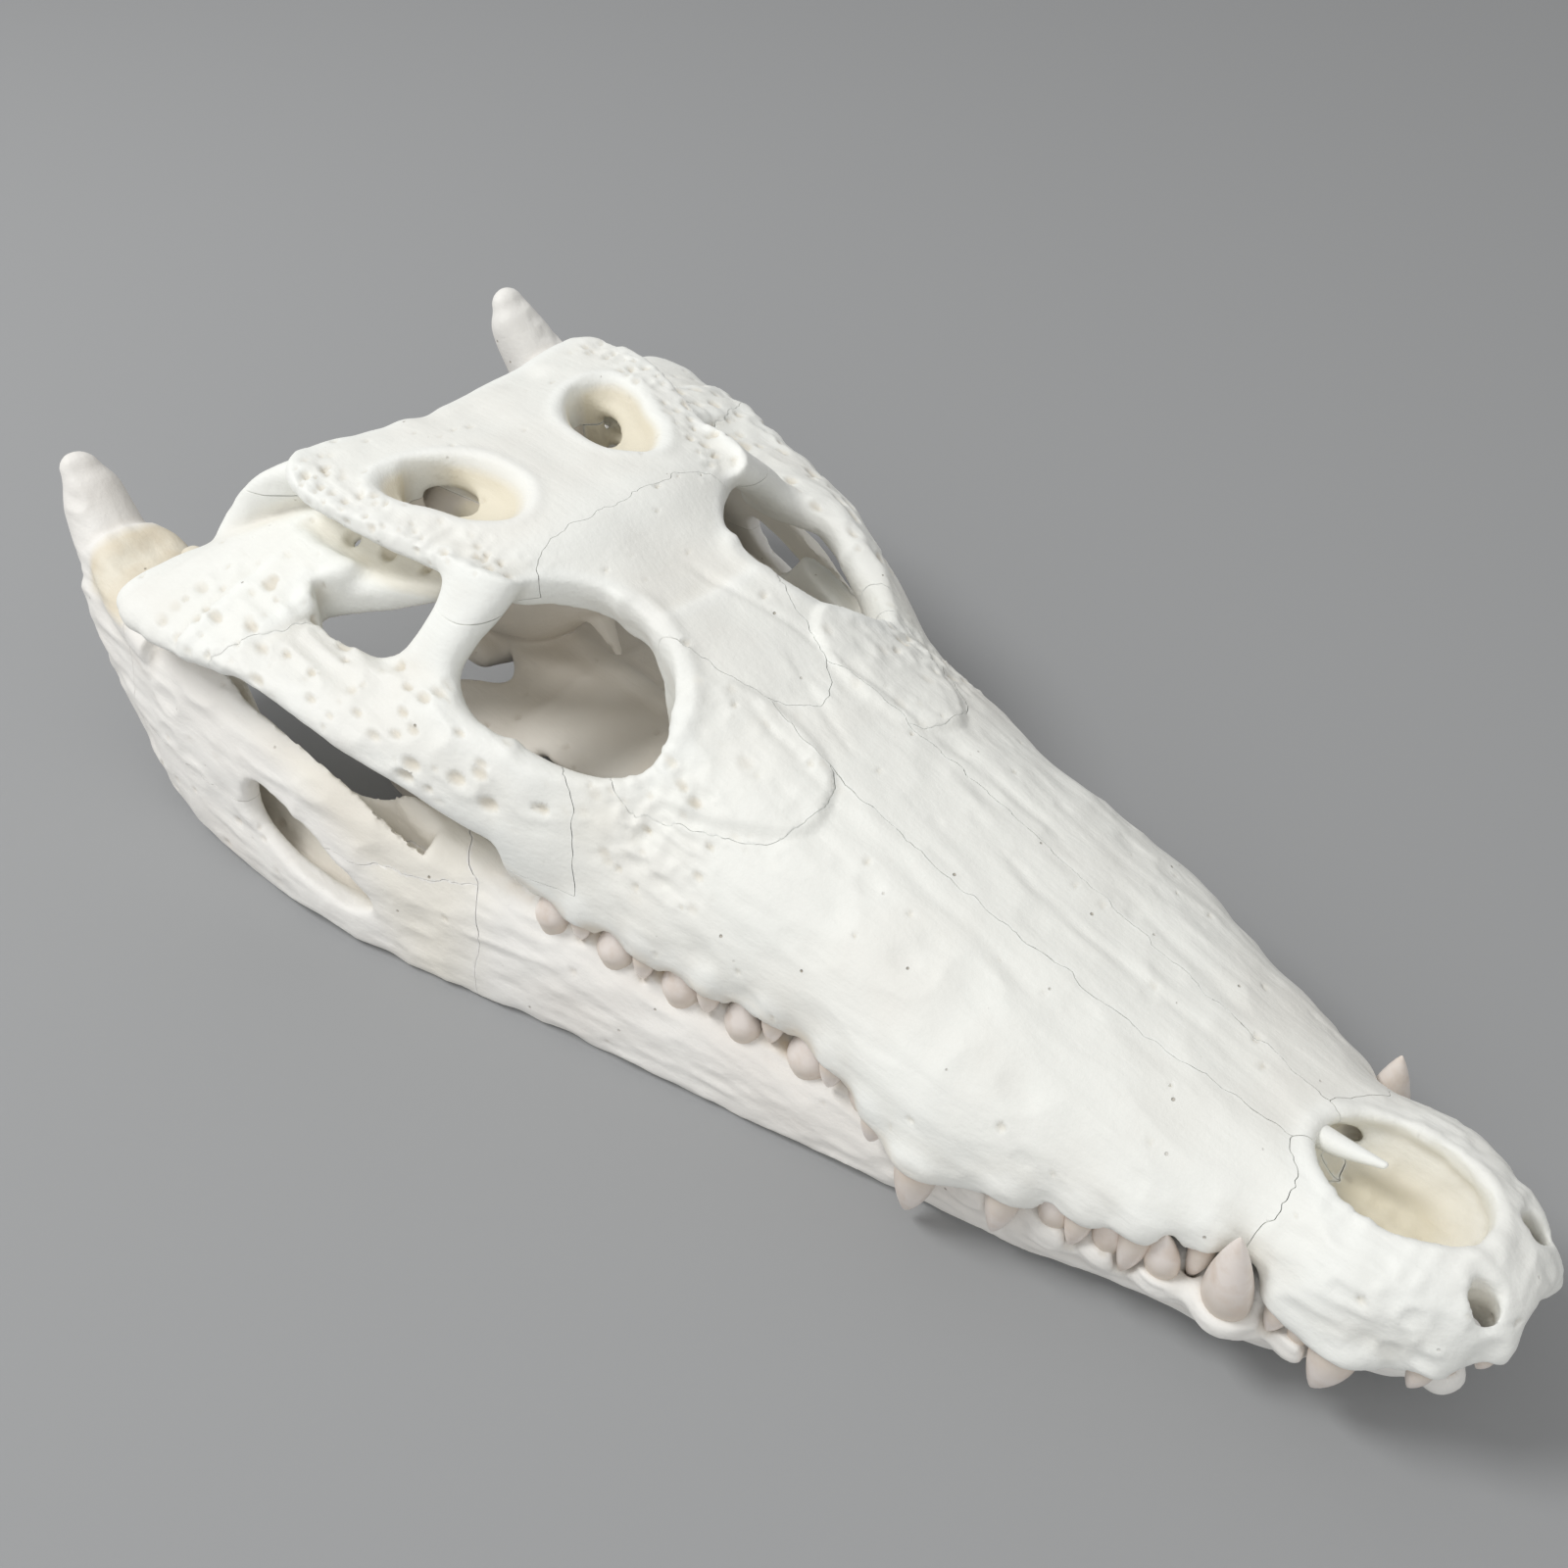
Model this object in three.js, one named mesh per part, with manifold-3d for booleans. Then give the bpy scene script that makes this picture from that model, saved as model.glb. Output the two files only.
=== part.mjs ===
// Crocodile skull with its lower jaw closed, life size.
// Millimetres, +X to the tip of the snout, +Y to the animal's left, +Z up.
// While the bones are made, x = 0 is the rear edge of the skull table and z = 0 is the ground.

import * as THREE from 'three';
import { mergeVertices } from 'three/addons/utils/BufferGeometryUtils.js';
import manifoldModule from 'manifold-3d';

const kernel = await manifoldModule();
kernel.setup();
const { Manifold, Mesh: SolidMesh } = kernel;

// Driving dimensions

const sutureGap = 0.3;          // gap between neighbouring bones
const boneSides = 14;           // facets round a bar of bone
const toothSides = 6;
const facetLoss = 0.35;         // how far a facet may leave the smooth bone
const restDepth = 0.8;          // cut off the underside of the jaw, so that it lies on flats

const boneColour = 0xeceee8;
const shadedBoneColour = 0xd9d4cd;
const jawColour = 0xe8e6df;

// Snout: half width at the tooth edge, height of that edge, height of the midline,
// and how square the shoulders are

const snout = [
  { x: 96, half: 64.5, edge: 38, top: 80, square: 1.7 },
  { x: 104, half: 62.5, edge: 34, top: 77.5, square: 1.7 },
  { x: 113, half: 59.5, edge: 31, top: 75.3, square: 1.75 },
  { x: 124, half: 56.5, edge: 29.5, top: 72, square: 1.85 },
  { x: 137, half: 54, edge: 28.5, top: 68.5, square: 1.95 },
  { x: 151, half: 49.8, edge: 28, top: 65, square: 2.1 },
  { x: 165, half: 46, edge: 28, top: 61.8, square: 2.2 },
  { x: 179, half: 46, edge: 27, top: 58.6, square: 2.25 },
  { x: 188, half: 47, edge: 23.5, top: 56.6, square: 2.25 },
  { x: 200, half: 48, edge: 19.5, top: 54, square: 2.25 },
  { x: 208, half: 45.8, edge: 20, top: 52.4, square: 2.25 },
  { x: 217, half: 42, edge: 21.5, top: 50.8, square: 2.25 },
  { x: 228, half: 37.5, edge: 23, top: 48.8, square: 2.25 },
  { x: 239, half: 34, edge: 25, top: 46.9, square: 2.25 },
  { x: 249, half: 29.5, edge: 26.5, top: 45.8, square: 2.25 },
  { x: 256, half: 25, edge: 28, top: 45.3, square: 2.3 },
  { x: 262, half: 23.3, edge: 28.5, top: 45.4, square: 2.4 },
  { x: 267, half: 24.8, edge: 25, top: 45.8, square: 2.6 },
  { x: 273, half: 26.5, edge: 22, top: 46.4, square: 2.8 },
  { x: 280, half: 25.3, edge: 22.5, top: 47.2, square: 2.7 },
  { x: 288, half: 21.5, edge: 24.5, top: 47.4, square: 2.7 },
  { x: 293.5, half: 17.8, edge: 26, top: 46.3, square: 2.6 },
  { x: 298, half: 13, edge: 28, top: 44, square: 2.5 },
  { x: 301.5, half: 7, edge: 31, top: 40.5, square: 2.4 },
];
const gumHeight = 4;            // upright band above the tooth edge
const gumWidth = 6.5;           // thickness of the rim that holds the teeth
const palateRise = 7;           // palate above the tooth edge

// Roof behind the snout: half width, height at the midline, height at the rim, thickness

const roof = [
  { x: -1.5, half: 42, mid: 89.5, rim: 92, thick: 7 },
  { x: 3, half: 47.5, mid: 90.6, rim: 92, thick: 8.5 },
  { x: 12, half: 50, mid: 91.6, rim: 91.4, thick: 9 },
  { x: 22, half: 49, mid: 92.3, rim: 91, thick: 9 },
  { x: 34, half: 46, mid: 92.6, rim: 89.8, thick: 9 },
  { x: 52, half: 41, mid: 92.4, rim: 88, thick: 9 },
  { x: 62, half: 37.5, mid: 92, rim: 87, thick: 9 },
  { x: 67, half: 34, mid: 91.2, rim: 85.4, thick: 9 },
  { x: 71, half: 27, mid: 90, rim: 85, thick: 9.5 },
  { x: 77, half: 20.5, mid: 87, rim: 84, thick: 10 },
  { x: 84, half: 17.5, mid: 83.6, rim: 82.6, thick: 10 },
  { x: 94, half: 16.8, mid: 80.4, rim: 80.2, thick: 10.5 },
  { x: 104, half: 18.5, mid: 77.6, rim: 77.4, thick: 11 },
  { x: 112, half: 25, mid: 75.4, rim: 72, thick: 12 },
  { x: 122, half: 29, mid: 72.3, rim: 67, thick: 14 },
];

// Half of the lower jaw: inner and outer faces, underside, upper edge, and how far the
// upper edge leans outwards

const ramus = [
  { x: 294.5, inner: -4, outer: 8, under: 12, upper: 22, lean: 1.5 },
  { x: 288, inner: -4, outer: 13.5, under: 7.5, upper: 23, lean: 2.5 },
  { x: 278, inner: -4, outer: 19.5, under: 4, upper: 23, lean: 3.5 },
  { x: 268, inner: -4, outer: 24.5, under: 2, upper: 22.8, lean: 4 },
  { x: 261, inner: -4, outer: 27.5, under: 1, upper: 23.2, lean: 4.5 },
  { x: 252, inner: -4, outer: 29, under: 0.5, upper: 22.8, lean: 2.5 },
  { x: 243, inner: 3, outer: 31, under: 0.2, upper: 22.2, lean: 2 },
  { x: 230, inner: 13, outer: 35, under: 0, upper: 21.2, lean: 1 },
  { x: 214, inner: 20, outer: 39.5, under: 0, upper: 20.2, lean: -0.5 },
  { x: 196, inner: 26, outer: 43.5, under: 0, upper: 19.8, lean: -2 },
  { x: 170, inner: 33, outer: 50, under: 0, upper: 21.5, lean: -3.5 },
  { x: 144, inner: 40, outer: 57, under: 0, upper: 24, lean: -4.5 },
  { x: 118, inner: 47, outer: 64, under: 0, upper: 27.5, lean: -5 },
  { x: 96, inner: 54, outer: 71, under: 0, upper: 32, lean: -5.5 },
  { x: 74, inner: 60.5, outer: 77.5, under: 0, upper: 36.5, lean: -6 },
  { x: 52, inner: 66, outer: 83.5, under: 0, upper: 42.5, lean: -6.5 },
  { x: 28, inner: 69, outer: 87, under: 0, upper: 46.5, lean: -6.5 },
  { x: 6, inner: 70, outer: 89, under: 0, upper: 48.5, lean: -6.5 },
  { x: -16, inner: 66, outer: 90, under: 2, upper: 50.5, lean: -5 },
  { x: -34, inner: 60, outer: 88, under: 8, upper: 51.5, lean: -3.5 },
  { x: -48, inner: 59, outer: 85.5, under: 19, upper: 53, lean: -2 },
  { x: -58, inner: 61, outer: 82, under: 34, upper: 55, lean: -1 },
];

// Teeth: place along the jaw, length out of the gum and radius at the gum

const premaxillaTeeth = [
  { x: 299.3, long: 4.5, wide: 1.5 },
  { x: 292.5, long: 7.5, wide: 2.3 },
  { x: 280, long: 13.5, wide: 4.1 },
  { x: 269, long: 8, wide: 2.3 },
];
const maxillaTeeth = [
  { x: 253, long: 11, wide: 2.5 },
  { x: 242.5, long: 14, wide: 3.0 },
  { x: 232.5, long: 10.5, wide: 2.7 },
  { x: 218.5, long: 14, wide: 3.4 },
  { x: 201.5, long: 17, wide: 4.8 },
  { x: 190, long: 8, wide: 2.8 },
  { x: 177, long: 8, wide: 2.8 },
  { x: 161, long: 8, wide: 2.8 },
  { x: 146, long: 7.5, wide: 2.8 },
  { x: 130, long: 7.5, wide: 2.8 },
  { x: 114, long: 6, wide: 2.5 },
];
const dentaryTeeth = [
  { x: 294.4, long: 19.5, wide: 2.4, outward: 9.5 },
  { x: 286, long: 5, wide: 2.0, outward: 12 },
  { x: 273.4, long: 6, wide: 2.0 },
  { x: 260.5, long: 19, wide: 4.7, outward: 27.3 },
  { x: 248, long: 9, wide: 3.6 },
  { x: 237.5, long: 8, wide: 2.8 },
  { x: 227, long: 9, wide: 3.3 },
  { x: 211, long: 7, wide: 2.8 },
  { x: 195.5, long: 6, wide: 2.6 },
  { x: 183.5, long: 8, wide: 3.8 },
  { x: 169, long: 9.5, wide: 4.5 },
  { x: 153.5, long: 8.5, wide: 4.0 },
  { x: 138, long: 8.5, wide: 4.0 },
  { x: 121.5, long: 8, wide: 3.9 },
  { x: 106, long: 8, wide: 3.6 },
];

// Small tools

let seed = 11;
function vary(amount) {
  seed = (seed * 16807) % 2147483647;
  return 1 + amount * (2 * seed / 2147483647 - 1);
}

// A value of a station table at x, on a smooth curve through the stations
function between(table, key, x) {
  const rows = table[0].x < table[table.length - 1].x ? table : [...table].reverse();
  const last = rows.length - 1;
  if (x <= rows[0].x) return rows[0][key];
  if (x >= rows[last].x) return rows[last][key];
  const i = rows.findIndex((row) => row.x > x) - 1;
  const slope = (k) => {
    const a = rows[Math.max(k - 1, 0)];
    const b = rows[Math.min(k + 1, last)];
    return (b[key] - a[key]) / (b.x - a.x);
  };
  const span = rows[i + 1].x - rows[i].x;
  const t = (x - rows[i].x) / span;
  const rest = 1 - t;
  return rows[i][key] * (1 + 2 * t) * rest * rest + slope(i) * span * t * rest * rest
    + rows[i + 1][key] * t * t * (3 - 2 * t) - slope(i + 1) * span * t * t * rest;
}

function evenly(from, to, count) {
  return Array.from({ length: count + 1 }, (_, i) => from + (to - from) * i / count);
}

function superCos(angle, square) {
  const c = Math.cos(angle);
  return Math.sign(c) * Math.abs(c) ** (2 / square);
}

function superSin(angle, square) {
  return superCos(angle - Math.PI / 2, square);
}

// A closed solid from an indexed geometry, turned the right way out
function solidOf(geometry) {
  const place = geometry.getAttribute('position').array;
  const index = Uint32Array.from(geometry.getIndex().array);
  let volume = 0;
  const corner = (i) => new THREE.Vector3().fromArray(place, 3 * i);
  for (let i = 0; i < index.length; i += 3) {
    const [a, b, c] = [corner(index[i]), corner(index[i + 1]), corner(index[i + 2])];
    volume += a.dot(b.cross(c));
  }
  if (volume < 0) {
    for (let i = 0; i < index.length; i += 3) [index[i], index[i + 1]] = [index[i + 1], index[i]];
  }
  const mesh = new SolidMesh({ numProp: 3, vertProperties: Float32Array.from(place), triVerts: index });
  return new Manifold(mesh);
}

// A closed solid through rings of points, each end closed by a fan
function loft(rings) {
  const count = rings[0].length;
  const points = rings.flat();
  const faces = [];
  for (let r = 0; r + 1 < rings.length; r++) {
    for (let k = 0; k < count; k++) {
      const a = r * count + k;
      const b = r * count + (k + 1) % count;
      faces.push(a, b, b + count, a, b + count, a + count);
    }
  }
  for (const [ring, start] of [[rings[0], 0], [rings.at(-1), (rings.length - 1) * count]]) {
    const middle = new THREE.Vector3();
    ring.forEach((point) => middle.addScaledVector(point, 1 / count));
    points.push(middle);
    for (let k = 0; k < count; k++) {
      const a = start + k;
      const b = start + (k + 1) % count;
      if (start === 0) faces.push(b, a, points.length - 1);
      else faces.push(a, b, points.length - 1);
    }
  }
  const geometry = new THREE.BufferGeometry().setFromPoints(points);
  geometry.setIndex(faces);
  return solidOf(geometry);
}

// A bar or sheet of bone: each station has the two edges of its section and its thickness.
// blunt is how far each end swells past its last station.
function strap(stations, { steps = 12, sides = boneSides, square = 2.3, blunt = 0 } = {}) {
  const vectors = (key) => stations.map((s) => new THREE.Vector3(...s[key]));
  const lows = new THREE.CatmullRomCurve3(vectors('low'));
  const highs = new THREE.CatmullRomCurve3(vectors('high'));
  const thicks = new THREE.CatmullRomCurve3(stations.map((s) => new THREE.Vector3(s.thick, 0, 0)));
  const section = (t, scale, shift) => {
    const low = lows.getPoint(t);
    const high = highs.getPoint(t);
    const along = lows.getTangent(t).add(highs.getTangent(t)).normalize();
    const across = high.clone().sub(low).multiplyScalar(0.5 * scale);
    const through = along.clone().cross(across).normalize();
    const middle = low.clone().add(high).multiplyScalar(0.5).addScaledVector(along, shift);
    const half = Math.max(thicks.getPoint(t).x, 0.4) * 0.5 * scale;
    return evenly(0, 2 * Math.PI, sides).slice(0, sides).map((angle) => middle.clone()
      .addScaledVector(across, superCos(angle, square))
      .addScaledVector(through, half * superSin(angle, square)));
  };
  const rings = evenly(0, 1, steps).map((t) => section(t, 1, 0));
  if (blunt > 0) {
    for (const turn of [0.55, 1.05, 1.4]) {
      rings.unshift(section(0, Math.cos(turn), -blunt * Math.sin(turn)));
      rings.push(section(1, Math.cos(turn), blunt * Math.sin(turn)));
    }
  }
  return loft(rings);
}

// A rod through points with a radius at each
function rod(points, radii, { steps = 8, sides = 10 } = {}) {
  const stations = points.map(([x, y, z], i) => ({
    low: [x - 0.01, y, z - radii[i]],
    high: [x + 0.01, y, z + radii[i]],
    thick: 2 * radii[i],
  }));
  return strap(stations, { steps, sides, square: 2, blunt: Math.min(radii[0], radii.at(-1)) });
}

// An upright prism on an outline drawn in x and y, with rounded corners, grown on its sides
function prism(outline, bottom, top, rounds = 18, grow = 0) {
  const curve = new THREE.CatmullRomCurve3(outline.map(([x, y]) => new THREE.Vector3(x, y, 0)), true);
  const points = curve.getPoints(rounds).slice(0, rounds);
  const turning = Math.sign(THREE.ShapeUtils.area(points));
  const shape = new THREE.Shape(points.map((point, i) => {
    const along = points[(i + 1) % rounds].clone().sub(points.at(i - 1)).normalize();
    return new THREE.Vector2(point.x + turning * grow * along.y, point.y - turning * grow * along.x);
  }));
  const raw = new THREE.ExtrudeGeometry(shape, { depth: top - bottom, bevelEnabled: false, steps: 1 });
  return extruded(raw).translate([0, 0, bottom]);
}

function extruded(raw) {
  raw.deleteAttribute('normal');
  raw.deleteAttribute('uv');
  return solidOf(mergeVertices(raw, 1e-5));
}

function block(from, to) {
  const size = new THREE.Vector3(...to).sub(new THREE.Vector3(...from));
  const raw = new THREE.BoxGeometry(size.x, size.y, size.z);
  const middle = new THREE.Vector3(...from).addScaledVector(size, 0.5);
  return extruded(raw).translate([middle.x, middle.y, middle.z]);
}

const mirrored = (solid) => solid.mirror([0, 1, 0]);
const bothSides = (solid) => solid.add(mirrored(solid));
const joined = (solids) => Manifold.union(solids);

// Solids of the upper skull

function snoutSolid() {
  const rings = evenly(snout[0].x, snout.at(-1).x, 36).map((x) => {
    const half = between(snout, 'half', x);
    const edge = between(snout, 'edge', x);
    const top = between(snout, 'top', x);
    const square = between(snout, 'square', x);
    const gum = edge + gumHeight;
    const side = evenly(0, Math.PI / 2, 6).map((turn) => [
      half * superCos(turn, square),
      gum + (top - gum) * superSin(turn, square),
    ]);
    const inner = half - Math.min(gumWidth, 0.4 * half);
    const wall = half - Math.min(gumWidth + 3, 0.6 * half);
    const rise = Math.min(palateRise, 0.25 * (top - edge));
    const below = [[0, edge + rise + 1], [wall, edge + rise], [inner, edge + 0.4], [half - 0.8, edge]];
    const leftHalf = [...below, ...side];
    const rightHalf = leftHalf.slice(1, -1).reverse().map(([y, z]) => [-y, z]);
    return [...leftHalf, ...rightHalf].map(([y, z]) => new THREE.Vector3(x, y, z));
  });
  return loft(rings);
}

function roofSolid() {
  const xs = evenly(roof[0].x, roof.at(-1).x, 24);
  const rings = xs.map((x) => {
    const half = between(roof, 'half', x);
    const mid = between(roof, 'mid', x);
    const rim = between(roof, 'rim', x);
    const thick = between(roof, 'thick', x);
    const rearward = 3 * Math.max(0, 1 - (x - roof[0].x) / 20);
    const top = evenly(-1, 1, 8).map((s) => [s * half * 0.985, mid + (rim - mid) * s * s]);
    const bottom = evenly(0.9, -0.9, 4).map((s) => [s * half, mid + (rim - mid) * s * s - thick]);
    const rimPoint = (s) => [s * half, rim - 0.35 * thick];
    return [...top, rimPoint(1), ...bottom, rimPoint(-1)].map(([y, z]) => (
      new THREE.Vector3(x - rearward * (y / half) ** 2, y, z)));
  });
  return loft(rings);
}

function jugalSolid() {
  const bar = strap([
    { low: [114, 51, 39], high: [114, 38, 58], thick: 13 },
    { low: [104, 58, 40], high: [104, 46, 60], thick: 12 },
    { low: [93, 63, 45], high: [93, 51, 63.5], thick: 11 },
    { low: [82, 68, 49.5], high: [82, 54.5, 66], thick: 10.5 },
    { low: [71, 72.5, 53.5], high: [71, 55, 67.5], thick: 10.5 },
    { low: [58, 76.5, 56], high: [58, 56, 66], thick: 10.5 },
    { low: [45, 79, 58], high: [45, 57, 65], thick: 9.5 },
    { low: [31, 80.5, 60.5], high: [31, 60, 65], thick: 8 },
    { low: [18, 83, 61.5], high: [18, 58, 67], thick: 8 },
    { low: [6, 86, 61], high: [6, 50, 71], thick: 8.5 },
  ], { steps: 16 });
  const pillar = strap([
    { low: [42, 58, 60], high: [76, 55, 64], thick: 8 },
    { low: [50, 52.5, 67], high: [68, 51, 70], thick: 8.5 },
    { low: [53.5, 47, 74], high: [68, 46, 76], thick: 8.5 },
    { low: [54, 42, 81], high: [70, 38, 82], thick: 9 },
    { low: [50, 38, 87], high: [71, 33, 87], thick: 9 },
  ], { steps: 12 });
  return bar.add(pillar);
}

function quadrateSolid() {
  const sheet = strap([
    { low: [20, 83, 61.5], high: [24, 38, 77], thick: 7.5 },
    { low: [8, 85.5, 61], high: [12, 36, 77], thick: 8 },
    { low: [-4, 88, 59.6], high: [-2, 38, 75], thick: 9.5 },
    { low: [-12, 89, 60], high: [-12, 46, 69], thick: 11 },
    { low: [-18, 89, 60], high: [-20, 54, 63], thick: 11.5 },
    { low: [-22, 87.5, 60], high: [-24, 60, 60], thick: 11 },
  ], { steps: 10, sides: 16, square: 2.6, blunt: 3 });
  const wing = strap([
    { low: [18, 66, 60], high: [18, 34, 76], thick: 8 },
    { low: [34, 50, 67], high: [38, 30, 78], thick: 7 },
    { low: [46, 40, 73], high: [52, 26, 80], thick: 5 },
  ], { steps: 8 });
  return sheet.add(wing);
}

function occiputSolid() {
  return strap([
    { low: [-20, -58, 60], high: [-20, -57, 71], thick: 8 },
    { low: [-22, -50, 62], high: [-11, -48, 84], thick: 9 },
    { low: [-17, -38, 62], high: [-3, -38, 89], thick: 10 },
    { low: [-10, -20, 58], high: [2, -20, 88], thick: 12 },
    { low: [-6, 0, 54], high: [3, 0, 87], thick: 13 },
    { low: [-10, 20, 58], high: [2, 20, 88], thick: 12 },
    { low: [-17, 38, 62], high: [-3, 38, 89], thick: 10 },
    { low: [-22, 50, 62], high: [-11, 48, 84], thick: 9 },
    { low: [-20, 58, 60], high: [-20, 57, 71], thick: 8 },
  ], { steps: 18, sides: 12, blunt: 3 });
}

function braincaseSolid() {
  const box = strap([
    { low: [62, 0, 62], high: [62, 0, 88], thick: 12 },
    { low: [48, 0, 48], high: [48, 0, 88], thick: 24 },
    { low: [32, 0, 36], high: [32, 0, 88], thick: 36 },
    { low: [14, 0, 33], high: [14, 0, 88], thick: 44 },
    { low: [-2, 0, 36], high: [0, 0, 86], thick: 34 },
  ], { steps: 12, sides: 20 });
  const condyle = rod([[4, 0, 58], [-11, 0, 56]], [8, 6.5], { steps: 3, sides: 14 });
  const earWall = strap([
    { low: [14, 20, 58], high: [12, 22, 86], thick: 26 },
    { low: [12, 30, 62], high: [10, 31, 86], thick: 18 },
  ], { steps: 4, sides: 14 });
  const marrowHole = rod([[-26, 0, 70], [16, 0, 70]], [6, 5], { steps: 3, sides: 12 });
  return joined([box, condyle, bothSides(earWall)]).subtract(marrowHole);
}

function pterygoidSolid() {
  const wings = strap([
    { low: [36, -57, 25], high: [60, -57, 28], thick: 11 },
    { low: [32, -52, 24], high: [63, -52, 28], thick: 8 },
    { low: [25, -42, 27], high: [64, -42, 30], thick: 5 },
    { low: [30, -28, 31], high: [64, -28, 32], thick: 5 },
    { low: [43, -19, 33], high: [64, -19, 33], thick: 5 },
    { low: [14, 0, 35], high: [66, 0, 34], thick: 7 },
    { low: [43, 19, 33], high: [64, 19, 33], thick: 5 },
    { low: [30, 28, 31], high: [64, 28, 32], thick: 5 },
    { low: [25, 42, 27], high: [64, 42, 30], thick: 5 },
    { low: [32, 52, 24], high: [63, 52, 28], thick: 8 },
    { low: [36, 57, 25], high: [60, 57, 28], thick: 11 },
  ], { steps: 30, sides: 10, square: 2.6 });
  const palatine = strap([
    { low: [56, -27, 33], high: [56, 27, 33], thick: 7 },
    { low: [72, -31, 34], high: [72, 31, 34], thick: 7 },
    { low: [84, -29, 35], high: [84, 29, 35], thick: 8 },
    { low: [93, -25, 36], high: [93, 25, 36], thick: 9 },
    { low: [112, -21, 38], high: [112, 21, 38], thick: 12 },
    { low: [124, -26, 41], high: [124, 26, 41], thick: 11 },
  ], { steps: 12 });
  const rearPlate = strap([
    { low: [6, -17, 38], high: [26, -17, 31], thick: 9 },
    { low: [4, 0, 36], high: [28, 0, 29], thick: 12 },
    { low: [6, 17, 38], high: [26, 17, 31], thick: 9 },
  ], { steps: 6, sides: 12, blunt: 3 });
  return joined([wings, palatine, rearPlate]);
}

function ectopterygoidSolid() {
  return strap([
    { low: [94, 52, 46], high: [70, 56, 52], thick: 9 },
    { low: [86, 52, 42], high: [66, 54, 46], thick: 8 },
    { low: [74, 51.5, 36], high: [56, 54, 38], thick: 7.5 },
    { low: [62, 52, 28], high: [44, 54, 30], thick: 8 },
  ], { steps: 8, sides: 14 });
}

// Openings of the upper skull

const orbitOutline = [[88, 16], [98, 16.5], [107, 19.5], [113, 25], [115, 32], [111.5, 40], [104, 46.5], [93, 53], [86, 34]];
const palateWindow = [[80, 33], [92, 26], [104, 24], [113, 30], [108, 40], [96, 46], [84, 47], [77, 41]];
const cheekWindow = [[20, 55.5], [30, 57], [44, 54], [50, 46], [52, 40], [44, 41], [33, 47]];
const templeFossa = [
  [17, 31], [20, 22], [26, 15], [36, 12], [47, 13], [54, 20], [48, 28], [38, 32], [29, 36], [21, 36],
];
const templeHole = [[17, 26], [23, 18], [32, 17], [36, 22], [31, 28], [23, 31]];

function narisCavity() {
  const centre = 274;
  const levels = [[60, 15.6, 10.8], [46, 15.4, 10.4], [40, 15, 9.8], [35, 12.5, 7.6], [33.5, 8, 4]];
  const rings = levels.map(([z, long, wide]) => evenly(0, 2 * Math.PI, 18).slice(0, 18).map((a) => (
    new THREE.Vector3(centre + long * superCos(a, 2.1), wide * superSin(a, 2.1), z))));
  return loft(rings);
}

function templeBowl() {
  const levels = [[100, 1.25], [93, 1.1], [90, 0.95], [86.5, 0.72], [84.5, 0.45]];
  const curve = new THREE.CatmullRomCurve3(templeFossa.map(([x, y]) => new THREE.Vector3(x, y, 0)), true);
  const centre = [28, 24.5];
  const rings = levels.map(([z, scale]) => curve.getPoints(14).slice(0, 14).map((p) => (
    new THREE.Vector3(centre[0] + (p.x - centre[0]) * scale, centre[1] + (p.y - centre[1]) * scale, z))));
  return loft(rings);
}

// Teeth

// A tooth grows from `root` along `way`, its tip hooked inwards
function tooth(root, way, long, wide, hook) {
  const depth = 3.5;
  const profile = [[-depth, 0.8], [0, 1], [0.35 * long, 0.86], [0.7 * long, 0.52], [long, 0.07]];
  const forward = new THREE.Vector3(1, 0, 0).projectOnPlane(way).normalize();
  const side = way.clone().cross(forward).normalize();
  const rings = profile.map(([height, scale]) => {
    const bend = height > 0 ? (height / long) ** 2 : 0;
    const middle = root.clone().addScaledVector(way, height).addScaledVector(hook, bend);
    return evenly(0, 2 * Math.PI, toothSides).slice(0, toothSides).map((a) => middle.clone()
      .addScaledVector(forward, 1.05 * wide * scale * Math.cos(a))
      .addScaledVector(side, 0.9 * wide * scale * Math.sin(a)));
  });
  return loft(rings);
}

function upperTooth({ x, long, wide }, grow = 0) {
  const y = Math.max(between(snout, 'half', x) - 0.6 * wide - 0.4, 2.2);
  const root = new THREE.Vector3(x, y, between(snout, 'edge', x) + 0.8);
  const way = new THREE.Vector3(0, 0.2, -1).normalize();
  const hook = new THREE.Vector3(-0.06 * long, -0.1 * long, 0);
  return tooth(root, way, long + grow, wide + grow, hook);
}

function lowerTooth({ x, long, wide, outward }, grow = 0) {
  const lean = between(ramus, 'lean', x);
  const y = outward ?? between(ramus, 'outer', x) + 0.8 * lean - 0.5 * wide - 0.6;
  const root = new THREE.Vector3(x, y, between(ramus, 'upper', x) - 1.5);
  const way = new THREE.Vector3(0, 0.08, 1).normalize();
  const hook = new THREE.Vector3(-0.05 * long, -0.05 * long, 0);
  return tooth(root, way, long + grow, wide + grow, hook);
}

const sized = (row) => ({ ...row, long: row.long * vary(0.05), wide: row.wide * vary(0.04) });

// Solids of the lower jaw

function ramusSolid() {
  const rings = evenly(ramus[0].x, ramus.at(-1).x, 34).map((x) => {
    const inner = between(ramus, 'inner', x);
    const outer = between(ramus, 'outer', x);
    const under = between(ramus, 'under', x);
    const upper = between(ramus, 'upper', x);
    const lean = between(ramus, 'lean', x);
    return evenly(0, 2 * Math.PI, 16).slice(0, 16).map((a) => new THREE.Vector3(
      x,
      (inner + outer) / 2 + (outer - inner) / 2 * superCos(a, 2.7) + lean * Math.sin(a),
      (under + upper) / 2 + (upper - under) / 2 * superSin(a, 2.7),
    ));
  });
  return loft(rings);
}

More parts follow.
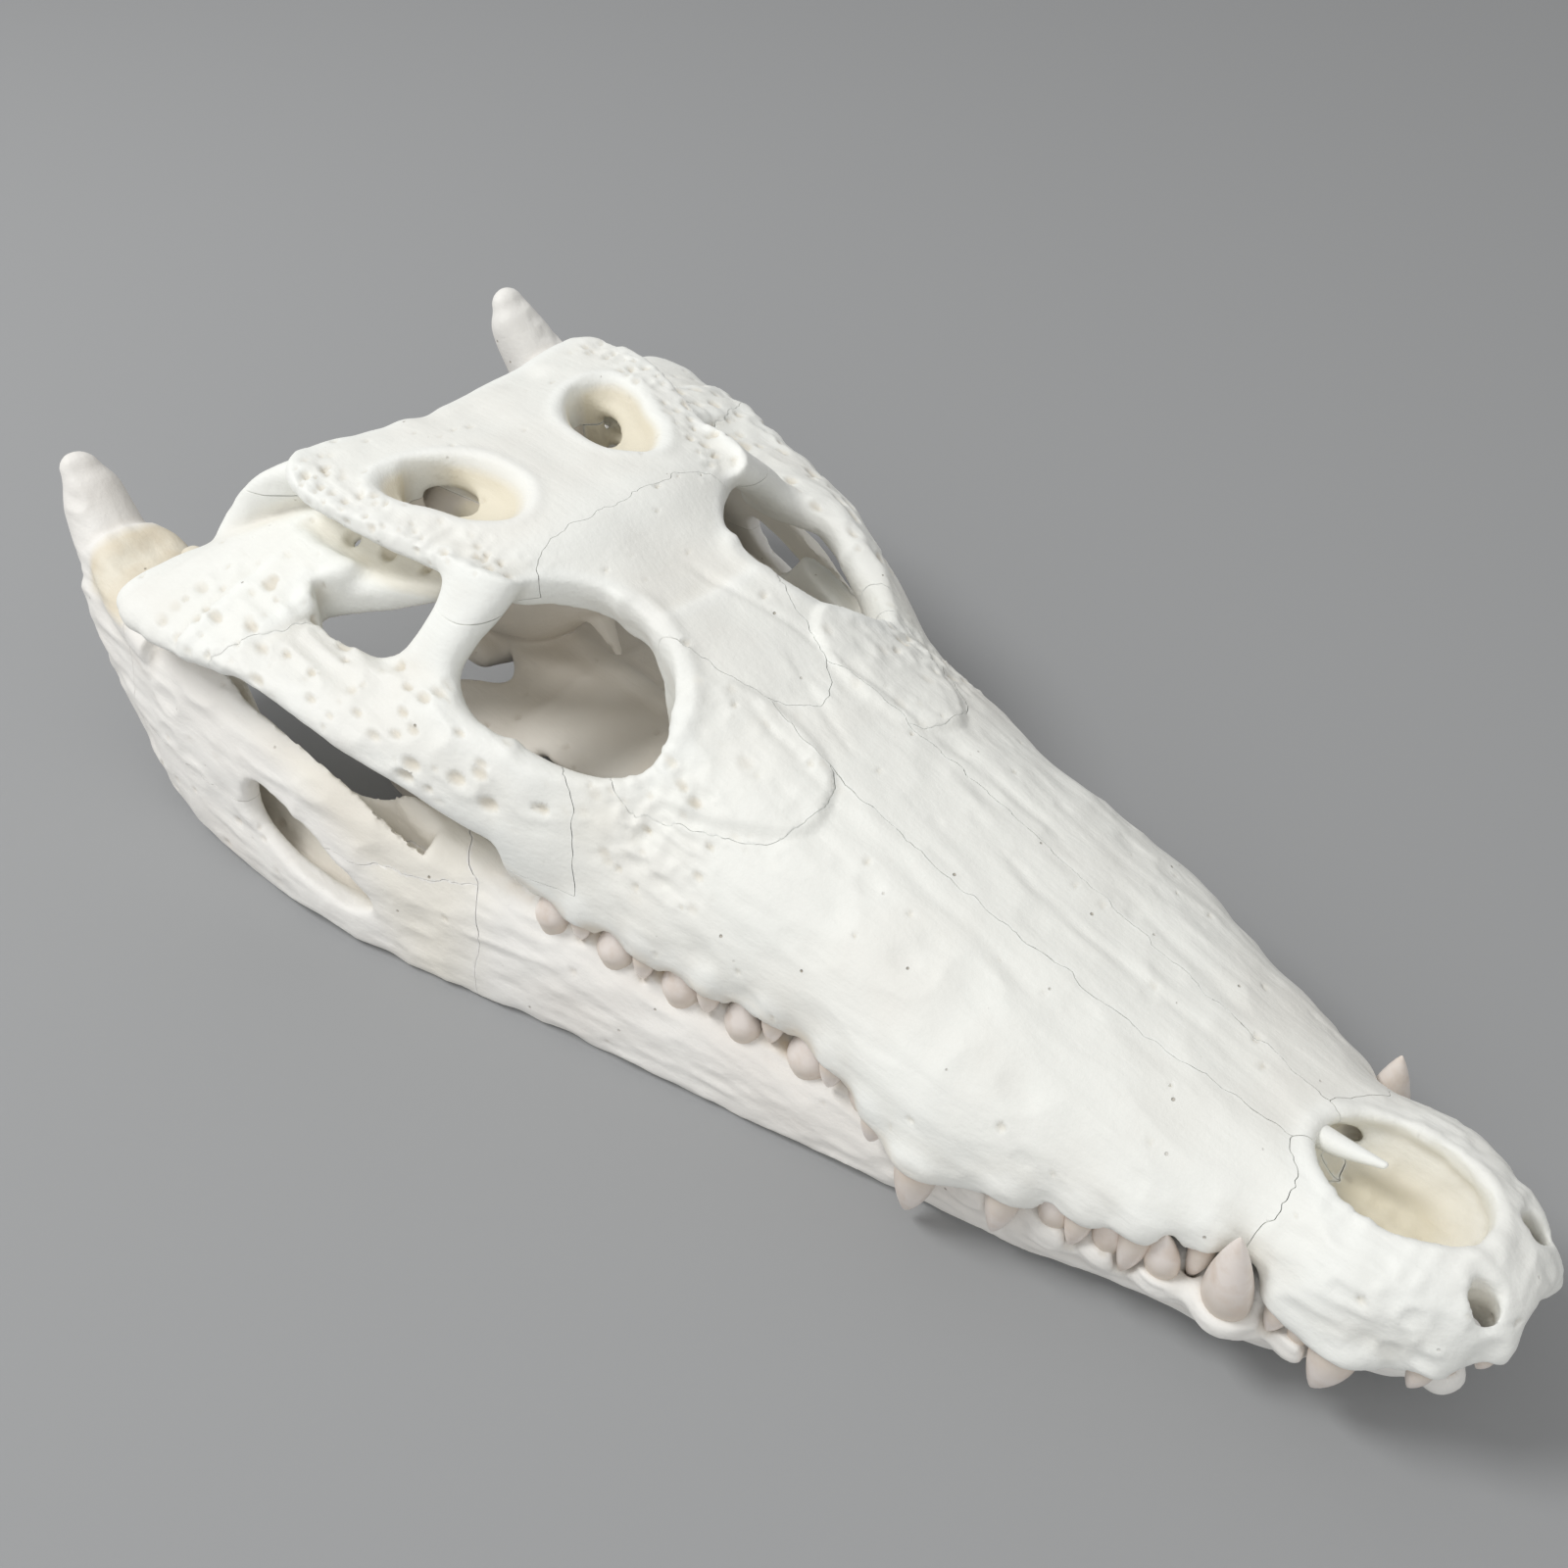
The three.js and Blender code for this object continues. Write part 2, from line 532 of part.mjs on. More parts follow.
function jawHeelSolid() {
  const heel = strap([
    { low: [-40, 61, 32], high: [-42, 84, 32], thick: 30 },
    { low: [-52, 61, 42], high: [-53, 83, 42], thick: 24 },
    { low: [-61, 61.5, 52], high: [-62, 80.5, 52], thick: 19 },
    { low: [-67, 61.5, 60], high: [-68, 76, 60], thick: 15 },
    { low: [-70, 61.5, 66], high: [-70, 73, 66], thick: 12 },
  ], { steps: 8, sides: 12, square: 2.3, blunt: 5 });
  const socket = strap([
    { low: [-20, 60, 46], high: [-20, 87, 46], thick: 13 },
    { low: [-38, 58, 48], high: [-38, 85, 48], thick: 13 },
    { low: [-50, 58, 53], high: [-50, 82, 53], thick: 12 },
    { low: [-56, 61, 56], high: [-56, 79, 56], thick: 9 },
  ], { steps: 6, sides: 14 });
  return heel.add(socket);
}

// The window in the side of the lower jaw, drawn in x and z
const jawWindow = [
  [23.5, 31.5], [20, 27], [22.5, 20.5], [31, 16], [43, 13], [56, 11.5], [63, 14.5], [59, 19], [51, 24], [42, 28],
  [32, 30.5],
];

function jawWindowSolid() {
  const upright = prism(jawWindow, 74, 110, 20);
  return upright.rotate([90, 0, 0]).mirror([0, 1, 0]);
}

function jawFossaSolid() {
  return strap([
    { low: [76, 71, 18], high: [70, 61, 60], thick: 4 },
    { low: [58, 77, 11], high: [54, 62.5, 60], thick: 7 },
    { low: [34, 81, 10], high: [34, 65.5, 60], thick: 8.5 },
    { low: [14, 82.5, 11], high: [14, 68, 60], thick: 8 },
    { low: [0, 80.5, 18], high: [0, 70, 60], thick: 4 },
  ], { steps: 12, sides: 14, square: 3 });
}

// The low inner wall of the jaw, which leaves the fossa open towards the middle
function innerNotchSolid() {
  return strap([
    { low: [78, 52, 40], high: [78, 50, 72], thick: 8 },
    { low: [64, 56, 32], high: [64, 52, 72], thick: 14 },
    { low: [40, 62, 25], high: [40, 56, 72], thick: 18 },
    { low: [10, 64, 24], high: [10, 60, 72], thick: 18 },
    { low: [-10, 63, 33], high: [-10, 60, 72], thick: 14 },
  ], { steps: 10, sides: 14, square: 3, blunt: 3 });
}

// Parting into bones

const upperSkull = (() => {
  const temple = prism(templeHole, 60, 110, 12);
  const snoutPart = snoutSolid()
    .subtract(bothSides(prism(orbitOutline, 45, 120, 18)))
    .subtract(bothSides(prism(palateWindow, 0, 50, 14)));
  const cheek = quadrateSolid().add(jugalSolid()).subtract(prism(cheekWindow, 40, 84, 16));
  const roofPart = roofSolid().subtract(bothSides(templeBowl()));
  const whole = joined([
    snoutPart, roofPart, bothSides(cheek), occiputSolid(), braincaseSolid(),
    pterygoidSolid(), bothSides(ectopterygoidSolid()),
  ]);
  return whole.subtract(bothSides(temple)).subtract(narisCavity()).asOriginal().simplify(facetLoss);
})();

const lowerJawHalf = (() => {
  const bone = ramusSolid().add(jawHeelSolid());
  return bone
    .subtract(jawFossaSolid())
    .subtract(innerNotchSolid())
    .subtract(jawWindowSolid())
    .asOriginal().simplify(facetLoss)
    .subtract(block([-100, -30, -5], [320, sutureGap / 2, 80]))
    .subtract(block([-100, -30, -5], [320, 120, restDepth]));
})();

const toothRows = {
  premaxilla: premaxillaTeeth.map(sized),
  maxilla: maxillaTeeth.map(sized),
  dentary: dentaryTeeth.map(sized),
};

// Keeps the largest closed surface of a solid
function largest(solid) {
  return solid.decompose().reduce((a, b) => (a.volume() > b.volume() ? a : b));
}

// Cuts a region out of a solid and leaves the gap of a suture round it.
// region(grow) returns the region, grown on every side.
function parted(whole, region) {
  return [whole.intersect(region(0)), whole.subtract(region(sutureGap))];
}

const nodes = [];
function addBone(name, solid, colour = boneColour) {
  nodes.push({ name, solid: largest(solid), colour });
}

function partUpperSkull() {
  const lowerTeeth = joined(toothRows.dentary.map((row) => lowerTooth(row, 0.5)));
  let rest = upperSkull.subtract(bothSides(lowerTeeth));

  const premaxillaRegion = (grow) => prism([
    [256, 5.5], [262, 16], [259, 26], [262, 44], [320, 44],
    [320, -44], [262, -44], [259, -26], [262, -16], [256, -5.5],
    [263, -3], [263, 3],
  ], 0, 80, 26, grow);
  const nasalRegion = (grow) => strap([
    { low: [110 - grow, -6 - grow, 78], high: [110 - grow, 6 + grow, 78], thick: 20 + 2 * grow },
    { low: [135, -11 - grow, 70], high: [135, 11 + grow, 70], thick: 16 + 2 * grow },
    { low: [165, -11.5 - grow, 62], high: [165, 11.5 + grow, 62], thick: 15 + 2 * grow },
    { low: [205, -10 - grow, 53], high: [205, 10 + grow, 53], thick: 15 + 2 * grow },
    { low: [245, -6.5 - grow, 45], high: [245, 6.5 + grow, 45], thick: 14 + 2 * grow },
    { low: [268 + grow, -4 - grow, 45], high: [268 + grow, 4 + grow, 45], thick: 14 + 2 * grow },
  ], { steps: 14, sides: 12, square: 6 });
  const tableRegion = (grow) => prism([
    [-20, 60], [30, 62], [58, 56], [66, 44], [69, 34], [66, 22], [66, 0],
    [66, -22], [69, -34], [66, -44], [58, -56], [30, -62], [-20, -60],
  ], 80.5 - grow, 110, 26, grow);
  const frontalRegion = (grow) => prism([
    [40, 34], [74, 30], [90, 21], [104, 15], [122, 9], [131, 0],
    [122, -9], [104, -15], [90, -21], [74, -30], [40, -34],
  ], 66 - grow, 110, 24, grow);
  const prefrontalRegion = (grow) => prism([
    [92, 18], [100, 8], [128, 4], [148, 16], [146, 30], [128, 40],
    [112, 44], [104, 36], [96, 26],
  ], 52 - grow, 110, 20, grow);
  const quadrateRegion = (grow) => prism([
    [-60, 24], [0, 27], [30, 27], [60, 23], [58, 34], [30, 58],
    [24, 70], [8, 96], [-60, 100],
  ], 40, 80.2, 22, grow);
  const jugalRegion = (grow) => prism([
    [0, 60], [20, 50], [60, 26], [76, 34], [84, 44], [98, 47], [112, 56],
    [118, 66], [100, 92], [0, 100],
  ], 43, 80.2, 22, grow);
  const palateRegion = (grow) => prism([
    [-20, -70], [70, -70], [88, -54], [100, -40], [122, -26], [126, 0],
    [122, 26], [100, 40], [88, 54], [70, 70], [-20, 70],
  ], 0, 40.5 + grow, 22, grow);

  let premaxilla;
  let nasals;
  let table;
  let frontal;
  [premaxilla, rest] = parted(rest, premaxillaRegion);
  [table, rest] = parted(rest, tableRegion);
  [frontal, rest] = parted(rest, frontalRegion);
  [nasals, rest] = parted(rest, nasalRegion);
  const spine = (grow) => rod([[254, 0, 41.5], [262, 0, 42.5], [269, 0, 44.8]], [2.6 + grow, 2 + grow, 0.8 + grow]);
  nasals = nasals.add(spine(0));
  premaxilla = premaxilla.subtract(spine(sutureGap));
  rest = rest.subtract(spine(sutureGap));

  const sides = [
    { side: 'left', turn: (solid) => solid },
    { side: 'right', turn: mirrored },
  ];
  addBone('premaxilla', joined([premaxilla, bothSides(joined(toothRows.premaxilla.map((row) => upperTooth(row))))]));
  addBone('nasals', nasals);
  addBone('frontal', frontal);
  addBone('skull_table', table);
  for (const { side, turn } of sides) {
    for (const [name, region] of [
      ['prefrontal', prefrontalRegion], ['quadrate', quadrateRegion], ['jugal', jugalRegion],
    ]) {
      let piece;
      [piece, rest] = parted(rest, (grow) => turn(region(grow)));
      addBone(`${name}_${side}`, piece);
    }
  }
  let palate;
  [palate, rest] = parted(rest, palateRegion);
  for (const { side, turn } of sides) {
    let ectopterygoid;
    [ectopterygoid, palate] = parted(palate, (grow) => turn(block([30, 52 - grow, 10], [120, 80, 60])));
    addBone(`ectopterygoid_${side}`, ectopterygoid, shadedBoneColour);
  }
  addBone('palate', palate, shadedBoneColour);
  const front = rest.intersect(block([92, -90, 0], [300, 90, 120]));
  for (const { side, turn } of sides) {
    const teeth = joined(toothRows.maxilla.map((row) => upperTooth(row)));
    const half = front.intersect(turn(block([90, sutureGap / 2, 0], [300, 90, 120])));
    addBone(`maxilla_${side}`, half.add(turn(teeth)));
  }
  addBone('braincase', rest.intersect(block([-60, -60, 0], [90, 60, 120])), shadedBoneColour);
}

function partLowerJaw() {
  const upperTeeth = joined([...toothRows.premaxilla, ...toothRows.maxilla].map((row) => upperTooth(row, 0.5)));
  let rest = lowerJawHalf.subtract(upperTeeth);
  const dentaryRegion = (grow) => prism([
    [68, 50], [92, 72], [84, 96], [300, 60], [330, 30], [330, -20], [220, -20],
  ], -10, 90, 16, grow);
  const surangularRegion = (grow) => strap([
    { low: [110, 40, 33.5 - grow], high: [110, 40, 80], thick: 120 },
    { low: [60, 60, 27 - grow], high: [60, 60, 90], thick: 120 },
    { low: [20, 60, 23.5 - grow], high: [20, 60, 90], thick: 120 },
    { low: [-30, 60, 25 - grow], high: [-30, 60, 90], thick: 120 },
  ], { steps: 8, sides: 8, square: 30 });
  const articularRegion = (grow) => block([-100, 40, -5], [-30 + grow, 100, 90]);
  const bones = {};
  [bones.dentary, rest] = parted(rest, dentaryRegion);
  [bones.articular, rest] = parted(rest, articularRegion);
  [bones.surangular, rest] = parted(rest, surangularRegion);
  bones.angular = rest;
  bones.dentary = bones.dentary.add(joined(toothRows.dentary.map((row) => lowerTooth(row)))).subtract(upperTeeth);
  for (const [name, bone] of Object.entries(bones)) {
    addBone(`${name}_left`, bone, jawColour);
    addBone(`${name}_right`, mirrored(largest(bone)), jawColour);
  }
}

partUpperSkull();
partLowerJaw();

// Scene graph

function meshOf({ name, solid, colour }) {
  const shape = largest(solid.asOriginal().simplify(0.15)).getMesh();
  const geometry = new THREE.BufferGeometry();
  geometry.setAttribute('position', new THREE.BufferAttribute(Float32Array.from(shape.vertProperties), 3));
  geometry.setIndex(Array.from(shape.triVerts));
  geometry.computeVertexNormals();
  const material = new THREE.MeshStandardMaterial({ color: colour, roughness: 0.7, metalness: 0 });
  const mesh = new THREE.Mesh(geometry, material);
  mesh.name = name;
  return mesh;
}

const skull = new THREE.Group();
nodes.forEach((node) => skull.add(meshOf(node)));
const bounds = new THREE.Box3().setFromObject(skull);
skull.position.set(-(bounds.min.x + bounds.max.x) / 2, 0, -bounds.min.z);

export default skull;
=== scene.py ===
# Looks of a crocodile skull with its lower jaw closed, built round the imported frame.
# Shapes are worked out in millimetres, +X to the tip of the snout, +Y to the animal's left, +Z up,
# with x = 0 at the rear edge of the skull table, and moved into the frame at the end.

import math

import bmesh
import bpy
import numpy as np
import openvdb
from mathutils import Matrix, Vector


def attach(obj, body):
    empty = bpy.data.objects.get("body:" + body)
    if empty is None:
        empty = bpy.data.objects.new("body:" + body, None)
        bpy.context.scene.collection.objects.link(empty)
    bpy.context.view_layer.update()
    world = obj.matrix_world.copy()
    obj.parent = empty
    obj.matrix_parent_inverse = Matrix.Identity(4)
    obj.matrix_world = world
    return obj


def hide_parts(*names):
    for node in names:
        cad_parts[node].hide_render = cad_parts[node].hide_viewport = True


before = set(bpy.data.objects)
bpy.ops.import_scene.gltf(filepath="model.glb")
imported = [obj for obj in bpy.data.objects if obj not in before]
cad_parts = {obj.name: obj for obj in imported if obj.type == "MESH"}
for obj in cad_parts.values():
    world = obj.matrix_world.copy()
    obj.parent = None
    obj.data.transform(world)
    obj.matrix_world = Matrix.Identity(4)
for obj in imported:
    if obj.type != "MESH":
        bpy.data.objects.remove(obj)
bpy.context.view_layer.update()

# Driving sizes

FRAME_SHIFT = np.array([-112.899, 0.0, -0.8])   # from the modelling place to the frame
REST_LEVEL = 0.8                                # flats under the lower jaw
VOXEL = 0.8
BAND = 6.0                                      # how far from a surface its field is known
GUM_HEIGHT = 4.0
GUM_WIDTH = 6.5
PALATE_RISE = 7.0

# Stations along the snout: half width, height of the tooth edge, height of the midline,
# squareness of the shoulders

SNOUT = {
    "x": [96, 104, 113, 124, 137, 151, 165, 179, 188, 200, 208, 217,
          228, 239, 249, 256, 262, 267, 273, 280, 288, 293.5, 298, 301.5],
    "half": [64.5, 62.5, 59.5, 56.5, 54, 49.8, 46, 46, 47, 48, 45.8, 42,
             37.5, 34, 29.5, 25, 23.3, 24.8, 26.5, 25.3, 21.5, 17.8, 13, 7],
    "edge": [38, 34, 31, 29.5, 28.5, 28, 28, 27, 23.5, 19.5, 20, 21.5,
             23, 25, 26.5, 28, 28.5, 25, 22, 22.5, 24.5, 26, 28, 31],
    "top": [80, 77.5, 75.3, 72, 68.5, 65, 61.8, 58.6, 56.6, 54, 52.4, 50.8,
            48.8, 46.9, 45.8, 45.3, 45.4, 45.8, 46.4, 47.2, 47.4, 46.3, 44, 40.5],
    "square": [1.7, 1.7, 1.75, 1.85, 1.95, 2.1, 2.2, 2.25, 2.25, 2.25, 2.25, 2.25,
               2.25, 2.25, 2.25, 2.3, 2.4, 2.6, 2.8, 2.7, 2.7, 2.6, 2.5, 2.4],
}

# Stations along the roof behind the snout: half width, height of the midline, of the rim, thickness

ROOF = {
    "x": [-1.5, 3, 12, 22, 34, 52, 62, 67, 71, 77, 84, 94, 104, 112, 122],
    "half": [42, 47.5, 50, 49, 46, 41, 37.5, 34, 27, 20.5, 17.5, 16.8, 18.5, 25, 29],
    "mid": [89.5, 90.6, 91.6, 92.3, 92.6, 92.4, 92, 91.2, 90, 87, 83.6, 80.4, 77.6, 74.6, 69.5],
    "rim": [92, 92, 91.4, 91, 89.8, 88, 87, 85.4, 85, 84, 82.6, 80.2, 77.4, 71, 63],
    "thick": [7, 8.5, 9, 9, 9, 9, 9, 9, 9.5, 10, 10, 10.5, 11, 12, 14],
}

# Stations along half of the lower jaw: inner and outer faces, underside, upper edge, and how far
# the upper edge leans outwards

RAMUS = {
    "x": [294.5, 288, 278, 268, 261, 252, 243, 230, 214, 196, 170,
          144, 118, 96, 74, 52, 28, 6, -16, -34, -48, -58],
    "inner": [-4, -4, -4, -4, -4, -4, 3, 13, 20, 26, 33,
              40, 47, 54, 60.5, 66, 69, 70, 66, 60, 59, 61],
    "outer": [8, 13.5, 19.5, 24.5, 27.5, 29, 31, 35, 39.5, 43.5, 50,
              57, 64, 71, 77.5, 83.5, 87, 89, 90, 88, 85.5, 82],
    "under": [12, 7.5, 4, 2, 1, 0.5, 0.2, 0, 0, 0, 0,
              0, 0, 0, 0, 0, 0, 0, 2, 8, 19, 34],
    "upper": [22, 23, 23, 22.8, 23.2, 22.8, 22.2, 21.2, 20.2, 19.8, 21.5,
              24, 27.5, 32, 36.5, 42.5, 46.5, 48.5, 50.5, 51.5, 53, 55],
    "lean": [1.5, 2.5, 3.5, 4, 4.5, 2.5, 2, 1, -0.5, -2, -3.5,
             -4.5, -5, -5.5, -6, -6.5, -6.5, -6.5, -5, -3.5, -2, -1],
}

# Teeth: place along the jaw, length out of the gum, radius at the gum and, for some of the lower
# ones, how far out they stand

PREMAXILLA_TEETH = [(299.3, 4.5, 1.5), (292.5, 7.5, 2.3), (280, 13.5, 4.1), (269, 8, 2.3)]
MAXILLA_TEETH = [
    (253, 11, 2.5), (242.5, 14, 3.0), (232.5, 10.5, 2.7), (218.5, 14, 3.4), (201.5, 17, 4.8), (190, 8, 2.8),
    (177, 8, 2.8), (161, 8, 2.8), (146, 7.5, 2.8), (130, 7.5, 2.8), (114, 6, 2.5),
]
DENTARY_TEETH = [
    (294.4, 19.5, 2.4, 9.5), (286, 5, 2.0, 12), (273.4, 6, 2.0, None), (260.5, 19, 4.7, 27.3),
    (248, 9, 3.6, None), (237.5, 8, 2.8, None), (227, 9, 3.3, None), (211, 7, 2.8, None),
    (195.5, 6, 2.6, None), (183.5, 8, 3.8, None), (169, 9.5, 4.5, None), (153.5, 8.5, 4.0, None),
    (138, 8.5, 4.0, None), (121.5, 8, 3.9, None), (106, 8, 3.6, None),
]
BLUNT_BEFORE = 196.0        # lower teeth further back than this are short and blunt

# Outlines seen from above, x and y, and of the jaw window, x and z

ORBIT = [(88, 16), (98, 16.5), (107, 19.5), (113, 25), (115, 32), (111.5, 40), (104, 46.5), (93, 53),
    (86, 34)]
PALATE_WINDOW = [(80, 33), (92, 26), (104, 24), (113, 30), (108, 40), (96, 46), (84, 47), (77, 41)]
CHEEK_WINDOW = [(20, 56), (29, 59.5), (44, 57), (51, 48), (54, 37), (47, 38.5), (33, 46.5)]
TEMPLE_FOSSA = [
    (17, 31), (20, 22), (26, 15), (36, 12), (47, 13), (54, 20), (48, 28), (38, 32), (29, 36), (21, 36),
]
TEMPLE_HOLE = [(17, 26), (23, 18), (32, 17), (36, 22), (31, 28), (23, 31)]
JAW_WINDOW = [
    (23.5, 31.5), (20, 27), (22.5, 20.5), (31, 16), (43, 13), (56, 11.5), (63, 14.5), (59, 19), (51, 24),
    (42, 28),
    (32, 30.5),
]

# Curves


def table_curve(xs, ys):
    """A smooth curve through the stations of a table, level beyond its ends."""
    order = np.argsort(xs)
    xs, ys = np.asarray(xs, float)[order], np.asarray(ys, float)[order]
    slopes = np.empty_like(ys)
    slopes[1:-1] = (ys[2:] - ys[:-2]) / (xs[2:] - xs[:-2])
    slopes[0] = (ys[1] - ys[0]) / (xs[1] - xs[0])
    slopes[-1] = (ys[-1] - ys[-2]) / (xs[-1] - xs[-2])

    def at(x):
        x = np.clip(x, xs[0], xs[-1])
        i = np.clip(np.searchsorted(xs, x, side="right") - 1, 0, len(xs) - 2)
        span = xs[i + 1] - xs[i]
        t = (x - xs[i]) / span
        s = 1 - t
        return (ys[i] * (1 + 2 * t) * s * s + slopes[i] * span * t * s * s
                + ys[i + 1] * t * t * (3 - 2 * t) - slopes[i + 1] * span * t * t * s)

    return at


def curves_of(table):
    return {key: table_curve(table["x"], table[key]) for key in table if key != "x"}


def through(points, ts, closed=False):
    """Places on a centripetal Catmull-Rom curve through the points, for ts from 0 to 1."""
    points = np.asarray(points, float)
    count = len(points)
    spans = count if closed else count - 1
    ts = np.asarray(ts, float) * spans
    i = np.clip(np.floor(ts).astype(int), 0, spans - 1)
    w = (ts - i)[:, None]
    if closed:
        p0, p1, p2, p3 = (points[(i + k) % count] for k in (-1, 0, 1, 2))
    else:
        before = 2 * points[0] - points[1]
        after = 2 * points[-1] - points[-2]
        padded = np.vstack([before, points, after])
        p0, p1, p2, p3 = (padded[i + k] for k in (0, 1, 2, 3))
    steps = [np.maximum(np.linalg.norm(b - a, axis=1), 1e-6) ** 0.5 for a,
        b in ((p0, p1), (p1, p2), (p2, p3))]
    d0, d1, d2 = (s[:, None] for s in steps)
    t1 = ((p1 - p0) / d0 - (p2 - p0) / (d0 + d1) + (p2 - p1) / d1) * d1
    t2 = ((p2 - p1) / d1 - (p3 - p1) / (d1 + d2) + (p3 - p2) / d2) * d1
    return p1 + t1 * w + (-3 * p1 + 3 * p2 - 2 * t1 - t2) * w ** 2 + (2 * p1 - 2 * p2 + t1 + t2) * w ** 3


def super_cos(angle, square):
    c = np.cos(angle)
    return np.sign(c) * np.abs(c) ** (2 / square)


def super_sin(angle, square):
    return super_cos(angle - math.pi / 2, square)


# Closed meshes, each as points, four-sided faces and three-sided faces


def loft(rings):
    """A closed mesh through rings of points, each end closed by a fan."""
    rings = np.asarray(rings, float)
    rows, count = rings.shape[:2]
    points = np.vstack([rings.reshape(-1, 3), rings[0].mean(0), rings[-1].mean(0)])
    k = np.arange(count)
    after = (k + 1) % count
    start = np.arange(rows - 1)[:, None] * count
    quads = np.stack([start + k, start + after, start + after + count, start + k + count], -1).reshape(-1, 4)
    first = np.stack([after, k, np.full(count, rows * count)], 1)
    last_row = (rows - 1) * count
    last = np.stack([last_row + k, last_row + after, np.full(count, rows * count + 1)], 1)
    return points, quads, np.vstack([first, last])


def strap(stations, square=2.3, blunt=0.0, steps=64, sides=48):
    """A bar or sheet of bone: each station has the two edges of its section and its thickness."""
    lows, highs = [s[0] for s in stations], [s[1] for s in stations]
    thicks = [(s[2], 0, 0) for s in stations]
    angles = np.linspace(0, 2 * math.pi, sides, endpoint=False)
    small = 1e-4

    def section(t, scale, shift):
        ts = np.array([t, max(t - small, 0), min(t + small, 1)])
        low, high = through(lows, ts), through(highs, ts)
        along = (low[2] - low[1]) / np.linalg.norm(low[2] - low[1])
        along = along + (high[2] - high[1]) / np.linalg.norm(high[2] - high[1])
        along /= np.linalg.norm(along)
        across = (high[0] - low[0]) * 0.5 * scale
        out = np.cross(along, across)
        out /= np.linalg.norm(out)
        middle = (low[0] + high[0]) / 2 + along * shift
        half = max(through(thicks, [t])[0, 0], 0.4) * 0.5 * scale
        return (middle + np.outer(super_cos(angles, square), across)
                + np.outer(super_sin(angles, square), out * half))

    rings = [section(t, 1, 0) for t in np.linspace(0, 1, steps + 1)]
    if blunt > 0:
        for turn in (0.3, 0.55, 0.8, 1.05, 1.25, 1.4):
            rings.insert(0, section(0, math.cos(turn), -blunt * math.sin(turn)))
            rings.append(section(1, math.cos(turn), blunt * math.sin(turn)))
    return loft(rings)


def rod(points, radii, steps=24):
    stations = [((x - 0.01, y, z - r), (x + 0.01, y, z + r), 2 * r) for (x, y, z), r in zip(points, radii)]
    return strap(stations, square=2, blunt=min(radii[0], radii[-1]), steps=steps, sides=32)


# Fields: how far each voxel of a block lies outside a surface, or inside it where negative


class Block:
    def __init__(self, low, high):
        shape = [int(math.ceil((h - l) / VOXEL)) + 1 for l, h in zip(low, high)]
        self.place(np.asarray(low, float), tuple(shape))

    def place(self, low, shape):
        self.low, self.shape = low, shape
        axes = [self.low[a] + VOXEL * np.arange(self.shape[a]) for a in range(3)]
        self.x, self.y, self.z = (axes[a].astype(np.float32).reshape([-1 if b == a else 1 for b in range(3)])
                                  for a in range(3))

    def of(self, shape):
        points, quads, triangles = shape
        grid = openvdb.FloatGrid.createLevelSetFromPolygons(
            ((points - self.low) / VOXEL).astype(np.float32), triangles=triangles.astype(np.uint32),
            quads=quads.astype(np.uint32), halfWidth=BAND / VOXEL)
        values = np.empty(self.shape, np.float32)
        grid.copyToArray(values)
        return values * np.float32(VOXEL)

    def ball(self, centre, radii):
        """An ellipsoid, its distance only rough away from the surface."""
        cx, cy, cz = centre
        rx, ry, rz = radii
        reach = np.sqrt(((self.x - cx) / rx) ** 2 + ((self.y - cy) / ry) ** 2 + ((self.z - cz) / rz) ** 2)
        return np.clip((reach - 1) * min(radii), -BAND, BAND)

    def bore(self, start, end, wide, narrow):
        """A round hole along a straight line, wide at its start."""
        start, way = np.asarray(start, float), np.subtract(end, start)
        away = (self.x - start[0], self.y - start[1], self.z - start[2])
        t = np.clip(sum(a * w for a, w in zip(away, way)) / np.dot(way, way), 0, 1)
        reach = np.sqrt(sum((a - t * w) ** 2 for a, w in zip(away, way)))
        return np.clip(reach - wide - (narrow - wide) * t, -BAND, BAND)

    def around(self, low, high):
        """The part of the block between two corners, and its place in the block as three slices."""
        start = [max(int((c - l) / VOXEL), 0) for c, l in zip(low, self.low)]
        stop = [min(int((c - l) / VOXEL) + 2, n) for c, l, n in zip(high, self.low, self.shape)]
        part = Block.__new__(Block)
        part.place(self.low + VOXEL * np.array(start), tuple(b - a for a, b in zip(start, stop)))
        return part, tuple(slice(a, b) for a, b in zip(start, stop))

    def outline(self, outline, axes="xy"):
        """The field of an endless prism on an outline drawn in two of the axes."""
        a, b = np.broadcast_arrays(*(getattr(self, name) for name in axes))
        return outline_distance(a, b, outline)


def outline_distance(a, b, outline):
    """How far the places (a, b) lie outside a smooth closed outline, negative inside it."""
    ring = through(np.asarray(outline, float), np.linspace(0, 1, 73)[:-1], closed=True)
    nearest = np.full(a.shape, 1e9, np.float32)
    inside = np.zeros(a.shape, bool)
    for (x0, y0), (x1, y1) in zip(ring, np.roll(ring, -1, axis=0)):
        ex, ey = x1 - x0, y1 - y0
        t = np.clip(((a - x0) * ex + (b - y0) * ey) / (ex * ex + ey * ey), 0, 1)
        nearest = np.minimum(nearest, (a - x0 - t * ex) ** 2 + (b - y0 - t * ey) ** 2)
        if y0 != y1:
            crosses = ((y0 <= b) != (y1 <= b)) & (a < x0 + (b - y0) * ex / ey)
            inside ^= crosses
    return np.where(inside, -np.sqrt(nearest), np.sqrt(nearest)).astype(np.float32)


def join(a, b, soft=3.0):
    h = np.maximum(soft - np.abs(a - b), 0) / soft
    return np.minimum(a, b) - h * h * soft * 0.25


def cut(a, b, soft=1.5):
    return -join(-a, b, soft)


